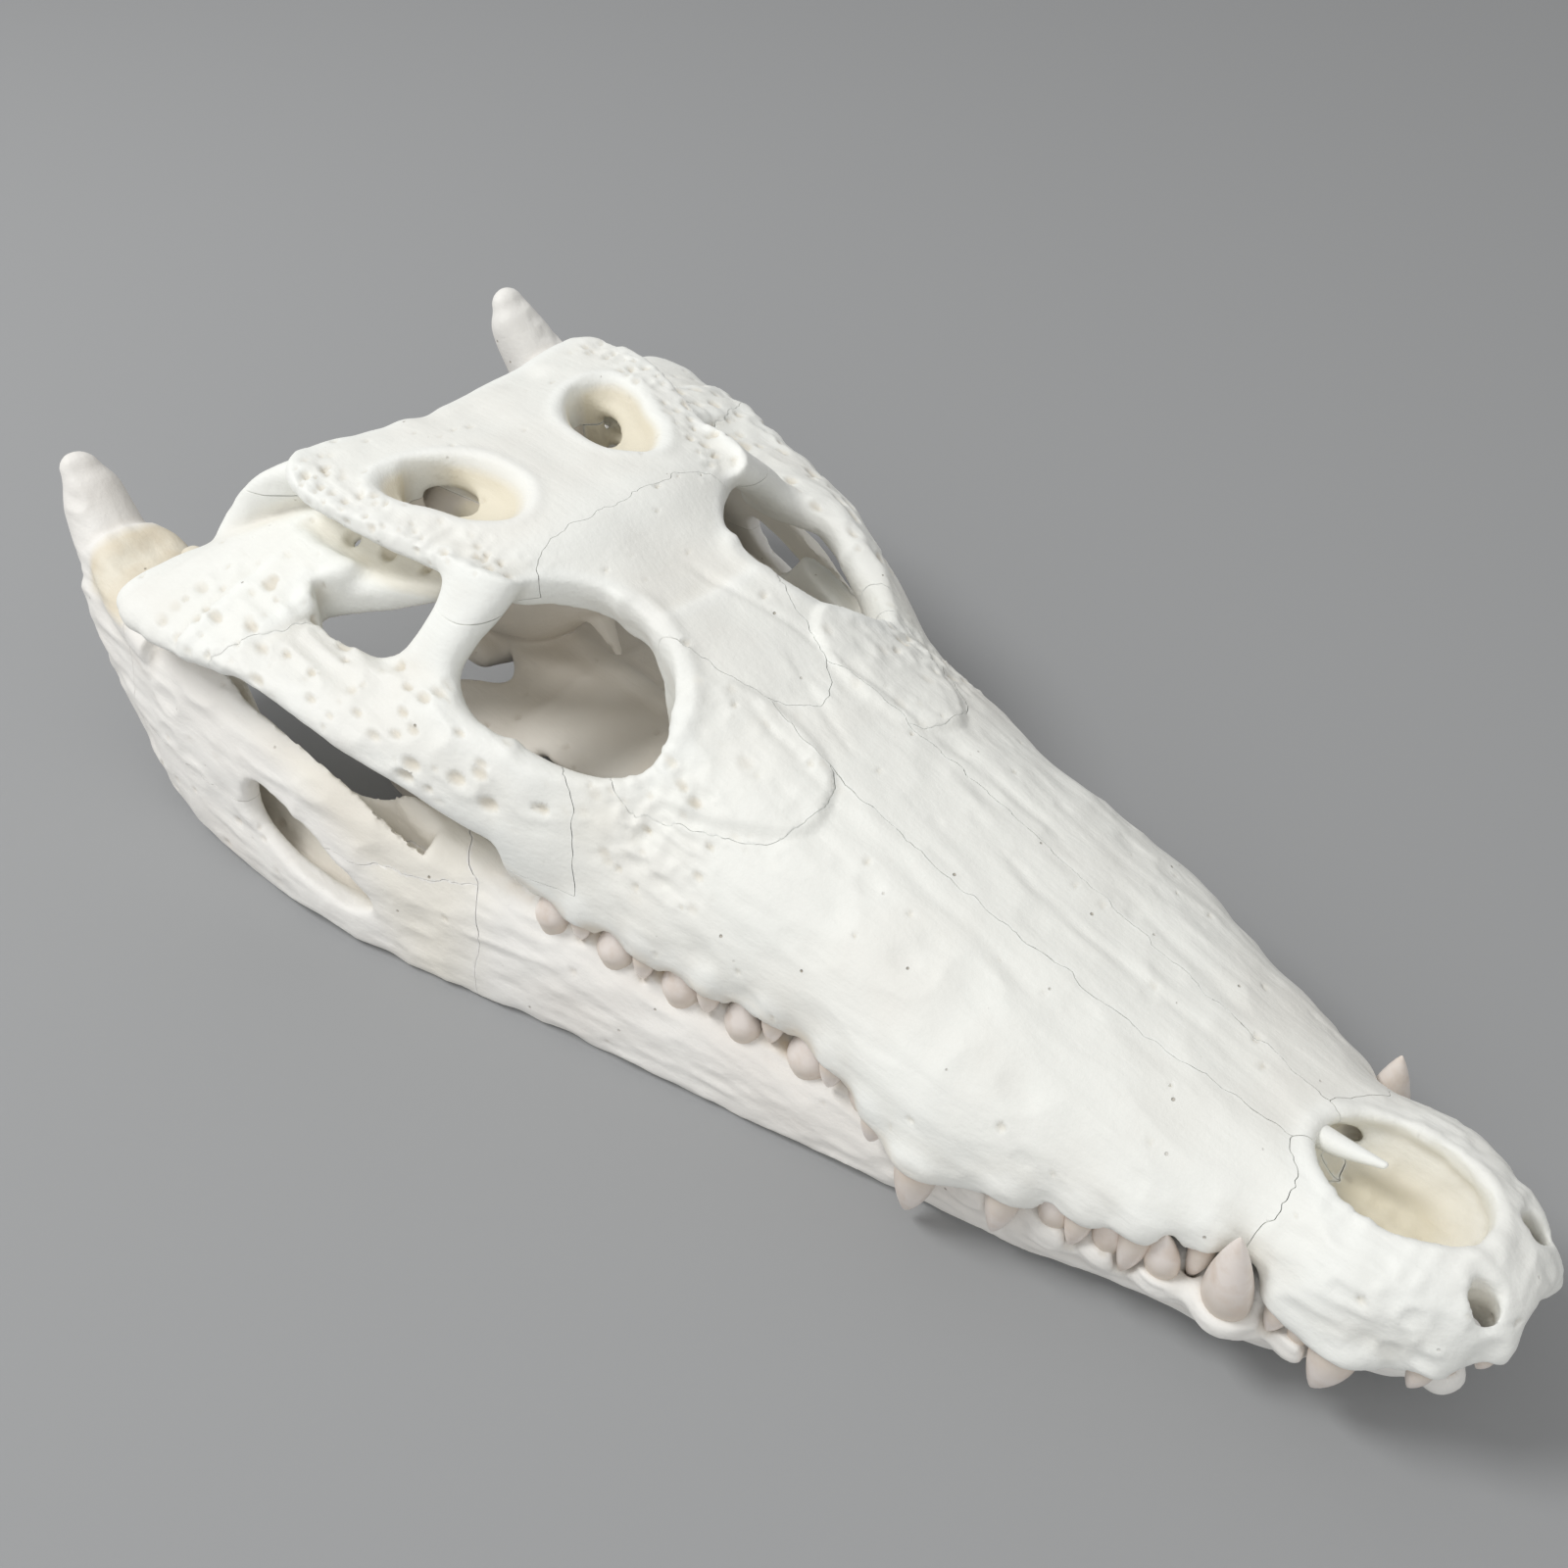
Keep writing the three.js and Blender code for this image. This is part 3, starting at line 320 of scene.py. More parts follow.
def blurred(field, rounds=1):
    for _ in range(rounds):
        for axis in range(3):
            low = np.roll(field, 1, axis)
            high = np.roll(field, -1, axis)
            field = 0.25 * low + 0.5 * field + 0.25 * high
    return field


# Noise


def lattice(seed, size=32):
    return np.random.RandomState(seed).uniform(-1, 1, (size, size, size)).astype(np.float32)


def smooth_noise(points, scale, seed, stretch=(1, 1, 1)):
    """Soft noise from -1 to 1 with lumps about `scale` across."""
    values = lattice(seed)
    size = values.shape[0]
    p = points / (scale * np.asarray(stretch)) + 0.37 * seed
    i = np.floor(p).astype(int)
    f = p - i
    f = f * f * (3 - 2 * f)
    total = np.zeros(len(points))
    for dx in (0, 1):
        for dy in (0, 1):
            for dz in (0, 1):
                weight = ((f[:, 0] if dx else 1 - f[:, 0]) * (f[:, 1] if dy else 1 - f[:, 1])
                          * (f[:, 2] if dz else 1 - f[:, 2]))
                total += weight * values[(i[:, 0] + dx) % size, (i[:, 1] + dy) % size, (i[:, 2] + dz) % size]
    return total


def pits(points, spacing, radius, seed, stretch=(1, 1, 1), share=1.0):
    """How deep each place lies in scattered round pits: 0 outside them, 1 at the middle of one."""
    random = np.random.RandomState(seed)
    size = 16
    offset = random.uniform(0.15, 0.85, (size, size, size, 3))
    reach = radius * random.uniform(0.55, 1.25, (size, size, size))
    reach[random.uniform(0, 1, reach.shape) > share] = 1e-3
    p = points / np.asarray(stretch)
    cell = np.floor(p / spacing).astype(int)
    depth = np.zeros(len(points))
    for dx in (-1, 0, 1):
        for dy in (-1, 0, 1):
            for dz in (-1, 0, 1):
                c = cell + (dx, dy, dz)
                k = tuple((c % size).T)
                away = np.linalg.norm(p - (c + offset[k]) * spacing, axis=1)
                near = np.clip(1 - (away / reach[k]) ** 2, 0, 1)
                depth = np.maximum(depth, near * near * (3 - 2 * near))
    return depth


# Fields of the upper skull, its left half


def snout_field(block):
    at = curves_of(SNOUT)
    rings = []
    for x in np.arange(SNOUT["x"][0], SNOUT["x"][-1] + 0.1, 1.5):
        half, edge, top, square = (at[key](x) for key in ("half", "edge", "top", "square"))
        gum = edge + GUM_HEIGHT
        turn = np.linspace(0, math.pi / 2, 24)
        side = np.stack([half * super_cos(turn, square), gum + (top - gum) * super_sin(turn, square)], 1)
        inner = half - min(GUM_WIDTH, 0.4 * half)
        wall = half - min(GUM_WIDTH + 3, 0.6 * half)
        rise = min(PALATE_RISE, 0.25 * (top - edge))
        below = np.array([[0, edge + rise + 1], [wall, edge + rise], [inner, edge + 0.4], [half - 0.8, edge]])
        left = np.vstack([below, side])
        right = left[1:-1][::-1] * (-1, 1)
        ring = np.vstack([left, right])
        rings.append(np.column_stack([np.full(len(ring), x), ring]))
    return block.of(loft(rings))


def roof_field(block):
    at = curves_of(ROOF)
    rings = []
    for x in np.arange(ROOF["x"][0], ROOF["x"][-1] + 0.1, 1.5):
        half, mid, rim, thick = (at[key](x) for key in ("half", "mid", "rim", "thick"))
        rearward = 3 * max(0, 1 - (x - ROOF["x"][0]) / 20)
        s = np.linspace(-1, 1, 40)
        top = np.stack([s * half * 0.985, mid + (rim - mid) * s * s], 1)
        s = np.linspace(0.9, -0.9, 24)
        bottom = np.stack([s * half, mid + (rim - mid) * s * s - thick], 1)
        ring = np.vstack([top, [[half, rim - 0.35 * thick]], bottom, [[-half, rim - 0.35 * thick]]])
        rings.append(np.column_stack([x - rearward * (ring[:, 0] / half) ** 2, ring]))
    return block.of(loft(rings))


JUGAL_BAR = [
    ((114, 51, 39), (114, 38, 58), 13), ((104, 58, 40), (104, 46, 60), 12),
    ((93, 63, 45), (93, 51, 63.5), 11), ((82, 68, 49.5), (82, 54.5, 66), 10.5),
    ((71, 72.5, 54.5), (71, 55, 67.5), 9.5), ((58, 76.5, 58), (58, 56, 66.5), 8.5),
    ((45, 79, 60.5), (45, 57, 66), 7.5), ((31, 81, 62.5), (31, 60, 66), 7),
    ((18, 83.5, 63), (18, 58, 67), 7.5), ((6, 86.5, 61.5), (6, 50, 71), 8.5),
]
JUGAL_PILLAR = [
    ((42, 58, 60), (76, 55, 64), 8), ((50, 52.5, 67), (68, 51, 70), 8.5),
    ((53.5, 47, 74), (68, 46, 76), 8.5), ((54, 42, 81), (70, 38, 82), 9), ((50, 38, 87), (71, 33, 87), 9),
]
QUADRATE_SHEET = [
    ((20, 83, 61.5), (24, 38, 77), 7.5), ((8, 85.5, 61), (12, 36, 77), 8),
    ((-4, 88, 59.6), (-2, 38, 75), 9.5),
    ((-12, 89, 60), (-12, 46, 69), 11), ((-18, 89, 60), (-20, 54, 63), 11.5),
    ((-22, 87.5, 60), (-24, 60, 60), 11),
]
QUADRATE_WING = [
    ((18, 66, 60), (18, 34, 76), 8), ((34, 50, 67), (38, 30, 78), 7), ((46, 40, 73), (52, 26, 80), 5),
]
OCCIPUT_HALF = [
    ((-6, 0, 54), (3, 0, 87), 13), ((-10, 20, 58), (2, 20, 88), 12), ((-17, 38, 62), (-3, 38, 89), 10),
    ((-22, 50, 62), (-11, 48, 84), 9), ((-20, 58, 60), (-20, 57, 71), 8),
]
BRAINCASE = [
    ((62, 0, 62), (62, 0, 88), 12), ((48, 0, 48), (48, 0, 88), 24), ((32, 0, 36), (32, 0, 88), 36),
    ((14, 0, 33), (14, 0, 88), 44), ((-2, 0, 36), (0, 0, 86), 34),
]
EAR_WALL = [((14, 20, 58), (12, 22, 86), 26), ((12, 30, 62), (10, 31, 86), 18)]
PTERYGOID_HALF = [
    ((14, 0, 35), (66, 0, 34), 7), ((38, 19, 33), (64, 19, 33), 5), ((25, 28, 31), (64, 28, 32), 5),
    ((23, 42, 27), (64, 42, 30), 5), ((31, 52, 24), (63, 52, 28), 8), ((36, 57, 25), (60, 57, 28), 11),
]
PALATINE = [
    ((56, -27, 33), (56, 27, 33), 7), ((72, -31, 34), (72, 31, 34), 7), ((84, -29, 35), (84, 29, 35), 8),
    ((93, -25, 36), (93, 25, 36), 9), ((112, -21, 38), (112, 21, 38), 12),
    ((124, -26, 41), (124, 26, 41), 11),
]
REAR_PLATE = [((6, -17, 38), (26, -17, 31), 9), ((4, 0, 36), (28, 0, 29), 12), ((6, 17, 38), (26, 17, 31), 9)]
ECTOPTERYGOID = [
    ((94, 52, 46), (70, 56, 52), 9), ((86, 52, 42), (66, 54, 46), 8),
    ((74, 51.5, 36), (56, 54, 38), 7.5), ((62, 52, 28), (44, 54, 30), 8),
]


def flipped(stations):
    """The stations of a half, with those of its mirror image before them."""
    turn = np.array([1, -1, 1])
    other = [(tuple(turn * low), tuple(turn * high), thick) for low, high, thick in reversed(stations[1:])]
    return other + list(stations)


def naris_field(block):
    """The bony nostril, an oval mouth over a wider chamber."""
    centre = 274
    levels = [(60, 15.8, 11), (47, 15.4, 10.4), (44.6, 15.9, 11.2), (41, 16.2, 11.8), (37.5, 14.2, 9.8),
        (35, 11, 6.5)]
    angles = np.linspace(0, 2 * math.pi, 64, endpoint=False)
    rings = [np.column_stack([centre + long * super_cos(angles, 2.1), wide * super_sin(angles, 2.1),
                              np.full(64, z)]) for z, long, wide in levels]
    return block.of(loft(rings))


def temple_field(block):
    levels = [(100, 1.25), (93, 1.1), (90, 0.95), (86.5, 0.72), (84.5, 0.45)]
    ring = through(TEMPLE_FOSSA, np.linspace(0, 1, 65)[:-1], closed=True)
    centre = np.array([28, 24.5])
    rings = [np.column_stack([centre + (ring - centre) * scale, np.full(64, z)]) for z, scale in levels]
    return block.of(loft(rings))


EAR_GROOVE = [(2, 46.5, 78.5), (16, 44.5, 78.3), (30, 41.5, 78.3), (45, 39, 79.5)]
EAR_HOLES = [((18, 46, 82), (14, 41, 75.5), 3.2, 2.2), ((29, 43, 82), (25, 38, 75.5), 3.0, 2.0),
             ((41, 40.5, 82), (38, 36, 76.5), 2.0, 1.4)]
NARIS_SLOTS = [((259, 4, 40), (262, 10, 37), 2.0, 1.6), ((272, -8, 41), (288, -3, 38), 1.5, 2.2)]
SNOUT_HOLES = [((294.9, 9.5, 30), (294.3, 9.4, 52), 3.0, 2.4)]
UPPER_TOOTH_WAY = (0, 0.2, -1)
LOWER_TOOTH_WAY = (0, 0.08, 1)


def upper_tooth_place(x, wide):
    at = curves_of(SNOUT)
    y = max(float(at["half"](x)) - 0.6 * wide - 0.4, 2.2)
    return np.array([x, y, float(at["edge"](x)) + 0.8])


def lower_tooth_place(x, wide, outward):
    at = curves_of(RAMUS)
    y = outward
    if y is None:
        inset = 0.5 * wide + 0.6 if x > BLUNT_BEFORE else wide + 0.6
        y = float(at["outer"](x)) + 0.8 * float(at["lean"](x)) - inset
    return np.array([x, y, float(at["upper"](x)) - 1.5])


def upper_field(block):
    orbit = block.outline(ORBIT)
    snout = cut(snout_field(block), np.maximum(orbit, 45 - block.z), 3)
    window = np.maximum(block.outline(PALATE_WINDOW), block.z - 50)
    snout = cut(snout, window, 2.5)
    roof = cut(roof_field(block), temple_field(block), 1.2)
    cheek = join(block.of(strap(JUGAL_BAR)), block.of(strap(JUGAL_PILLAR)), 4)
    quadrate = join(block.of(strap(QUADRATE_SHEET, square=2.6, blunt=3)), block.of(strap(QUADRATE_WING)), 3)
    cheek = join(cheek, quadrate, 3)
    hole = np.maximum(block.outline(CHEEK_WINDOW), np.abs(block.z - 62) - 22)
    cheek = cut(cheek, hole, 2)
    whole = join(snout, roof, 5)
    whole = join(whole, cheek, 3.5)
    whole = join(whole, block.of(strap(flipped(OCCIPUT_HALF), blunt=3)), 3)
    case = join(block.of(strap(BRAINCASE)), block.of(strap(EAR_WALL)), 5)
    condyle = block.of(rod([(4, 0, 58), (-11, 0, 56)], [8, 6.5]))
    beak = block.of(rod([(44, 0, 60), (53, 0, 53), (60, 0, 44.5)], [5, 3.4, 1.3]))
    whole = join(join(join(whole, case, 4), condyle, 2), beak, 2)
    whole = cut(whole, block.of(rod([(-26, 0, 70), (16, 0, 70)], [6, 5])), 2)
    floor = join(block.of(strap(flipped(PTERYGOID_HALF), square=2.6)), block.of(strap(PALATINE)), 5)
    floor = join(floor, block.of(strap(REAR_PLATE, blunt=3)), 4)
    keel = block.of(rod([(36, 0, 36), (62, 0, 36.5), (92, 0, 37.6)], [3.4, 3, 2.6]))
    whole = join(join(whole, floor, 4), keel, 2.5)
    whole = join(whole, block.of(strap(ECTOPTERYGOID)), 3)
    temple = np.maximum(block.outline(TEMPLE_HOLE), 60 - block.z)
    whole = cut(whole, temple, 1.2)
    whole = cut(whole, block.of(rod(EAR_GROOVE, [2.2, 3.6, 3.4, 2])), 2)
    whole = cut(whole, naris_field(block), 1)
    for hole in EAR_HOLES + NARIS_SLOTS:
        whole = cut(whole, block.bore(*hole), 1)
    for x, long, wide in PREMAXILLA_TEETH + MAXILLA_TEETH:
        place = upper_tooth_place(x, wide)
        collar = 1.5 if x > BLUNT_BEFORE else 0.9
        swell(block, whole, place + (0, -0.3, 3.0), (wide + collar, wide + 0.5 * collar, 4.6))
        hollow_out(block, whole, place + (0, 0, -0.4), (wide + 0.5, wide + 0.4, 2.2))
    for tooth_shape in lower_tooth_shapes(0.7):
        clear(block, whole, tooth_shape)
    for hole in SNOUT_HOLES:
        whole = cut(whole, block.bore(*hole), 0.8)
    return whole


def swell(block, whole, centre, radii, soft=3.5):
    """Swells the bone round the root of a tooth."""
    part, where = block.around(centre - 13, centre + 13)
    whole[where] = join(whole[where], part.ball(centre, radii), soft)


def hollow_out(block, whole, centre, radii, soft=0.8):
    part, where = block.around(centre - 9, centre + 9)
    whole[where] = cut(whole[where], part.ball(centre, radii), soft)


def clear(block, whole, shape):
    """Cuts room for a tooth of the other jaw."""
    points = shape[0]
    part, where = block.around(points.min(0) - 3, points.max(0) + 3)
    if min(part.shape) > 3:
        whole[where] = cut(whole[where], part.of(shape), 1.0)


# Fields of half of the lower jaw


def ramus_field(block):
    at = curves_of(RAMUS)
    angles = np.linspace(0, 2 * math.pi, 64, endpoint=False)
    rings = []
    for x in np.arange(RAMUS["x"][-1], RAMUS["x"][0] + 0.1, 1.5):
        inner, outer, under, upper, lean = (at[key](x) for key in ("inner", "outer", "under", "upper",
            "lean"))
        y = (inner + outer) / 2 + (outer - inner) / 2 * super_cos(angles, 2.7) + lean * np.sin(angles)
        z = (under + upper) / 2 + (upper - under) / 2 * super_sin(angles, 2.7)
        rings.append(np.column_stack([np.full(64, x), y, z]))
    return block.of(loft(rings))


JAW_HEEL = [
    ((-40, 61, 32), (-42, 84, 32), 30), ((-52, 61, 42), (-53, 83, 42), 24),
    ((-61, 61.5, 52), (-62, 80.5, 52), 19),
    ((-66.5, 61.5, 60), (-69, 78, 60), 15.5), ((-70, 62, 65.5), (-71.5, 76, 65.5), 12.5),
    ((-72, 64, 69), (-73, 74.5, 69), 8.5),
]
JAW_SOCKET = [
    ((-20, 60, 46), (-20, 87, 46), 13), ((-38, 58, 48), (-38, 85, 48), 13),
    ((-50, 58, 53), (-50, 82, 53), 12),
    ((-56, 61, 56), (-56, 79, 56), 9),
]
JAW_FOSSA = [
    ((76, 71, 18), (70, 61, 60), 4), ((58, 77, 11), (54, 62.5, 60), 7), ((34, 81, 10), (34, 65.5, 60), 8.5),
    ((14, 82.5, 11), (14, 68, 60), 8), ((0, 80.5, 18), (0, 70, 60), 4),
]
INNER_NOTCH = [
    ((78, 52, 40), (78, 50, 72), 8), ((64, 56, 32), (64, 52, 72), 14), ((40, 62, 25), (40, 56, 72), 18),
    ((10, 64, 24), (10, 60, 72), 18), ((-10, 63, 33), (-10, 60, 72), 14),
]
GLENOID_LINE = [(-40, 90, 66), (-42, 73, 64.5), (-45, 57, 66)]


def lower_field(block):
    bone = join(ramus_field(block), block.of(strap(JAW_HEEL, blunt=5)), 5)
    bone = join(bone, block.of(strap(JAW_SOCKET)), 3)
    bone = cut(bone, block.of(strap(JAW_FOSSA, square=3)), 2)
    bone = cut(bone, block.of(strap(INNER_NOTCH, square=3, blunt=3)), 3)
    bone = cut(bone, block.of(rod(GLENOID_LINE, [9.5, 8.5, 9])), 1.2)
    bone = join(bone, block.ball((-34, 61.5, 56.5), (3.6, 3.2, 3.4)), 2)
    window = np.maximum(block.outline(JAW_WINDOW, "xz"), 74 - block.y)
    bone = cut(bone, window, 1.5)
    for x, long, wide, outward in DENTARY_TEETH:
        place = lower_tooth_place(x, wide, outward)
        if x > BLUNT_BEFORE:
            swell(block, bone, place - (0, 0.8, 4.0), (wide + 1.9, wide + 1.5, 5.2))
            hollow_out(block, bone, place + (-0.5, 0, 1.6), (wide + 1.1, wide + 0.5, 3.6))
    for tooth_shape in upper_tooth_shapes(0.6):
        clear(block, bone, tooth_shape)
    return np.maximum(bone, 0.15 - block.y)


# Meshes from fields


def surface(block, field):
    """Points and four-sided faces of a field's zero surface."""
    grid = openvdb.FloatGrid(BAND)
    grid.copyFromArray(np.ascontiguousarray(np.clip(field, -BAND, BAND)))
    points, quads = grid.convertToQuads(isovalue=0.0)
    return points.astype(float) * VOXEL + block.low, quads.astype(np.int64)


def sampled(block, field, points):
    """The field's values at the points."""
    p = (points - block.low) / VOXEL
    i = np.clip(np.floor(p).astype(int), 0, np.array(field.shape) - 2)
    f = p - i
    total = np.zeros(len(points))
    for dx in (0, 1):
        for dy in (0, 1):
            for dz in (0, 1):
                weight = ((f[:, 0] if dx else 1 - f[:, 0]) * (f[:, 1] if dy else 1 - f[:, 1])
                          * (f[:, 2] if dz else 1 - f[:, 2]))
                total += weight * field[i[:, 0] + dx, i[:, 1] + dy, i[:, 2] + dz]
    return total


def vertex_normals(points, quads):
    across = points[quads[:, 2]] - points[quads[:, 0]]
    along = points[quads[:, 3]] - points[quads[:, 1]]
    face = np.cross(across, along)
    total = np.zeros_like(points)
    for k in range(4):
        for a in range(3):
            total[:, a] += np.bincount(quads[:, k], face[:, a], len(points))
    return total / (np.linalg.norm(total, axis=1, keepdims=True) + 1e-12)


def relaxed(points, quads, rounds=2):
    """Evens out voxel steps without shrinking the shape."""
    edges = np.vstack([quads[:, [0, 1]], quads[:, [1, 2]], quads[:, [2, 3]], quads[:, [3, 0]]])
    ends = np.concatenate([edges[:, 0], edges[:, 1]])
    others = np.concatenate([edges[:, 1], edges[:, 0]])
    count = np.bincount(ends, minlength=len(points))[:, None]
    for _ in range(rounds):
        for share in (0.5, -0.52):
            mean = np.stack([np.bincount(ends, points[others, a], len(points)) for a in range(3)], 1) / count
            points = points + share * (mean - points)
    return points


# Materials


def shader(name, roughness):
    material = bpy.data.materials.new(name)
    material.use_nodes = True
    tree = material.node_tree
    bsdf = tree.nodes["Principled BSDF"]
    bsdf.inputs["Roughness"].default_value = roughness
    return material, tree, bsdf


def node(tree, kind, inputs=None, **settings):
    made = tree.nodes.new(kind)
    for key, value in settings.items():
        setattr(made, key, value)
    for key, value in (inputs or {}).items():
        if isinstance(value, bpy.types.NodeSocket):
            tree.links.new(value, made.inputs[key])
        else:
            made.inputs[key].default_value = value
    return made


def mixed(tree, factor, a, b):
    made = node(tree, "ShaderNodeMix", data_type="RGBA")
    for key, value in ((0, factor), (6, a), (7, b)):
        if isinstance(value, bpy.types.NodeSocket):
            tree.links.new(value, made.inputs[key])
        else:
            made.inputs[key].default_value = value
    return made.outputs[2]


def linear(red, green, blue):
    """A colour from its usual screen values."""
    return tuple(((c / 255) / 12.92 if c / 255 <= 0.04045 else ((c / 255 + 0.055) / 1.055) ** 2.4)
                 for c in (red, green, blue)) + (1.0,)


def ranged(tree, value, low, high, out_low=0.0, out_high=1.0):
    made = node(tree, "ShaderNodeMapRange", {"Value": value, "From Min": low, "From Max": high,
                                             "To Min": out_low, "To Max": out_high})
    return made.outputs["Result"]


def bone_material(name, pale, warm, crevice_shade_colour):
    material, tree, bsdf = shader(name, 0.6)
    place = node(tree, "ShaderNodeTexCoord").outputs["Object"]
    broad = node(tree, "ShaderNodeTexNoise", {"Vector": place, "Scale": 26.0, "Detail": 4.0}).outputs["Fac"]
    fine = node(tree, "ShaderNodeTexNoise", {"Vector": place, "Scale": 520.0, "Detail": 6.0,
                                             "Roughness": 0.65}).outputs["Fac"]
    tints = {key: node(tree, "ShaderNodeAttribute", attribute_name=key).outputs["Fac"]
             for key in ("crevice_shade", "cream_and_shade", "stain")}
    colour = mixed(tree, ranged(tree, broad, 0.44, 0.7), pale, warm)
    # cream tint: partly the bone's own yellower tone in the temple fossae and the jaw socket, partly painted
    # shade in the nostril, ear groove and hollows under the roof and inside the jaw
    colour = mixed(tree, tints["cream_and_shade"], colour, linear(231, 223, 201))
    # painted shade: crevices and pits are darkened towards the crevice shade colour, where shade falls
    colour = mixed(tree, tints["crevice_shade"], colour, crevice_shade_colour)
    blotch = node(tree, "ShaderNodeTexNoise", {"Vector": place, "Scale": 130.0, "Detail": 5.0}).outputs["Fac"]
    stained = node(tree, "ShaderNodeMath", {0: tints["stain"], 1: ranged(tree, blotch, 0.35, 0.62)},
                   operation="MULTIPLY").outputs[0]
    colour = mixed(tree, stained, colour, linear(196, 168, 122))
    # painted shade: scattered pores are darkened like the inside of tiny holes, and pressed in by the bump
    # below
    dots = node(tree, "ShaderNodeTexVoronoi", {"Vector": place, "Scale": 170.0})
    chosen = ranged(tree, node(tree, "ShaderNodeSeparateColor",
        {"Color": dots.outputs["Color"]}).outputs[0], 0.6, 1.0)
    dot = node(tree, "ShaderNodeMath", {0: ranged(tree, dots.outputs["Distance"], 0.07, 0.035), 1: chosen},
               operation="MULTIPLY").outputs[0]
    colour = mixed(tree, dot, colour, linear(176, 166, 148))
    tree.links.new(colour, bsdf.inputs["Base Color"])
    stretch = node(tree, "ShaderNodeMapping", {"Vector": place, "Scale": (0.14, 1.0, 1.0)}).outputs["Vector"]
    grain = node(tree, "ShaderNodeTexNoise", {"Vector": stretch, "Scale": 950.0,
        "Detail": 4.0}).outputs["Fac"]
    bump = node(tree, "ShaderNodeBump", {"Height": grain, "Strength": 0.28,
        "Distance": 0.0004}).outputs["Normal"]
    bump = node(tree, "ShaderNodeBump", {"Height": fine, "Strength": 0.34, "Distance": 0.0005,
                                         "Normal": bump}).outputs["Normal"]
    bump = node(tree, "ShaderNodeBump", {"Height": dot, "Strength": 0.8, "Distance": 0.0006,
                                         "Normal": bump}, invert=True).outputs["Normal"]
    tree.links.new(bump, bsdf.inputs["Normal"])
    return material


def tooth_material():
    material, tree, bsdf = shader("tooth_enamel", 0.34)
    place = node(tree, "ShaderNodeTexCoord").outputs["Object"]
    up = node(tree, "ShaderNodeAttribute", attribute_name="along").outputs["Fac"]
    mottle = node(tree, "ShaderNodeTexNoise", {"Vector": place, "Scale": 260.0, "Detail": 3.0}).outputs["Fac"]
    colour = mixed(tree, ranged(tree, up, 0.0, 0.45), linear(214, 203, 190), linear(237, 228, 221))
    colour = mixed(tree, ranged(tree, mottle, 0.45, 0.8), colour, linear(221, 206, 192))
    tree.links.new(colour, bsdf.inputs["Base Color"])
    ridges = node(tree, "ShaderNodeMapping", {"Vector": place, "Scale": (1.0, 1.0, 0.12)}).outputs["Vector"]
    grain = node(tree, "ShaderNodeTexNoise", {"Vector": ridges, "Scale": 1400.0,
        "Detail": 2.0}).outputs["Fac"]
    bump = node(tree, "ShaderNodeBump", {"Height": grain, "Strength": 0.12,
        "Distance": 0.0003}).outputs["Normal"]
    tree.links.new(bump, bsdf.inputs["Normal"])
    return material


# the last colour of each bone material is the painted shade colour for crevices and pits
bone = bone_material("bleached_bone", linear(244, 245, 240), linear(238, 237, 231), linear(208, 198, 178))
# painted shade: a darker, warmer copy of the bone colours for the palate, ectopterygoids and braincase, which
# lie in shade inside the skull
inner_bone = bone_material("inner_bone", linear(238, 233, 226), linear(230, 223, 214), linear(198, 186, 168))
# painted shade and a painted warm reflection: a slightly darker, warmer copy of the bone colours for the
# lower jaw
jaw_bone = bone_material("jaw_bone", linear(242, 240, 235), linear(234, 230, 224), linear(204, 193, 176))
enamel = tooth_material()

# Relief: how far the skin of the bone stands out from its smooth shape


def between(value, low, high, soft):
    """1 from low to high, falling to 0 over a soft margin."""
    return np.clip((value - low) / soft + 0.5, 0, 1) * np.clip((high - value) / soft + 0.5, 0, 1)


def ridge(value, middle, width):
    return np.exp(-((value - middle) / width) ** 2)


def worms(points, scale, seed, stretch=(1, 1, 1)):
    """Winding ridges, 1 on their crests and about -1 in between."""
    return 1 - 4 * np.abs(smooth_noise(points, scale, seed, stretch))


PREFRONTAL_BOSS = [(110, 22), (121, 38), (134, 35), (150, 24), (146, 13), (128, 9), (114, 14)]


# Grooves along the snout, each with its two ends, depth and width
GROOVES = [
    ((84, 2), (121, 12), 0.7, 1.2), ((121, 12), (150, 15), 0.8, 1.3), ((118, -13), (150, -16), 0.6, 1.2),
    ((150, 15), (186, 17), 0.6, 1.6), ((176, 1), (252, 0), 0.5, 1.3), ((150, -16), (205, -17), 0.4, 1.8),
    ((118, 3), (146, -5), 0.4, 1.0), ((196, 16), (236, 11), 0.35, 1.6),
]


def groove(points, start, end, wide):
    """1 along a slightly winding line seen from above, falling off to both sides and at its ends."""
    way = np.subtract(end, start)
    away = points[:, :2] - start
    t = away @ way / (way @ way)
    aside = (away[:, 1] * way[0] - away[:, 0] * way[1]) / np.linalg.norm(way) + 0.9 * smooth_noise(points,
        7, 21)
    return np.exp(-(aside / wide) ** 2) * between(t, 0.05, 0.95, 0.2) * between(points[:, 2], 40, 98, 2)


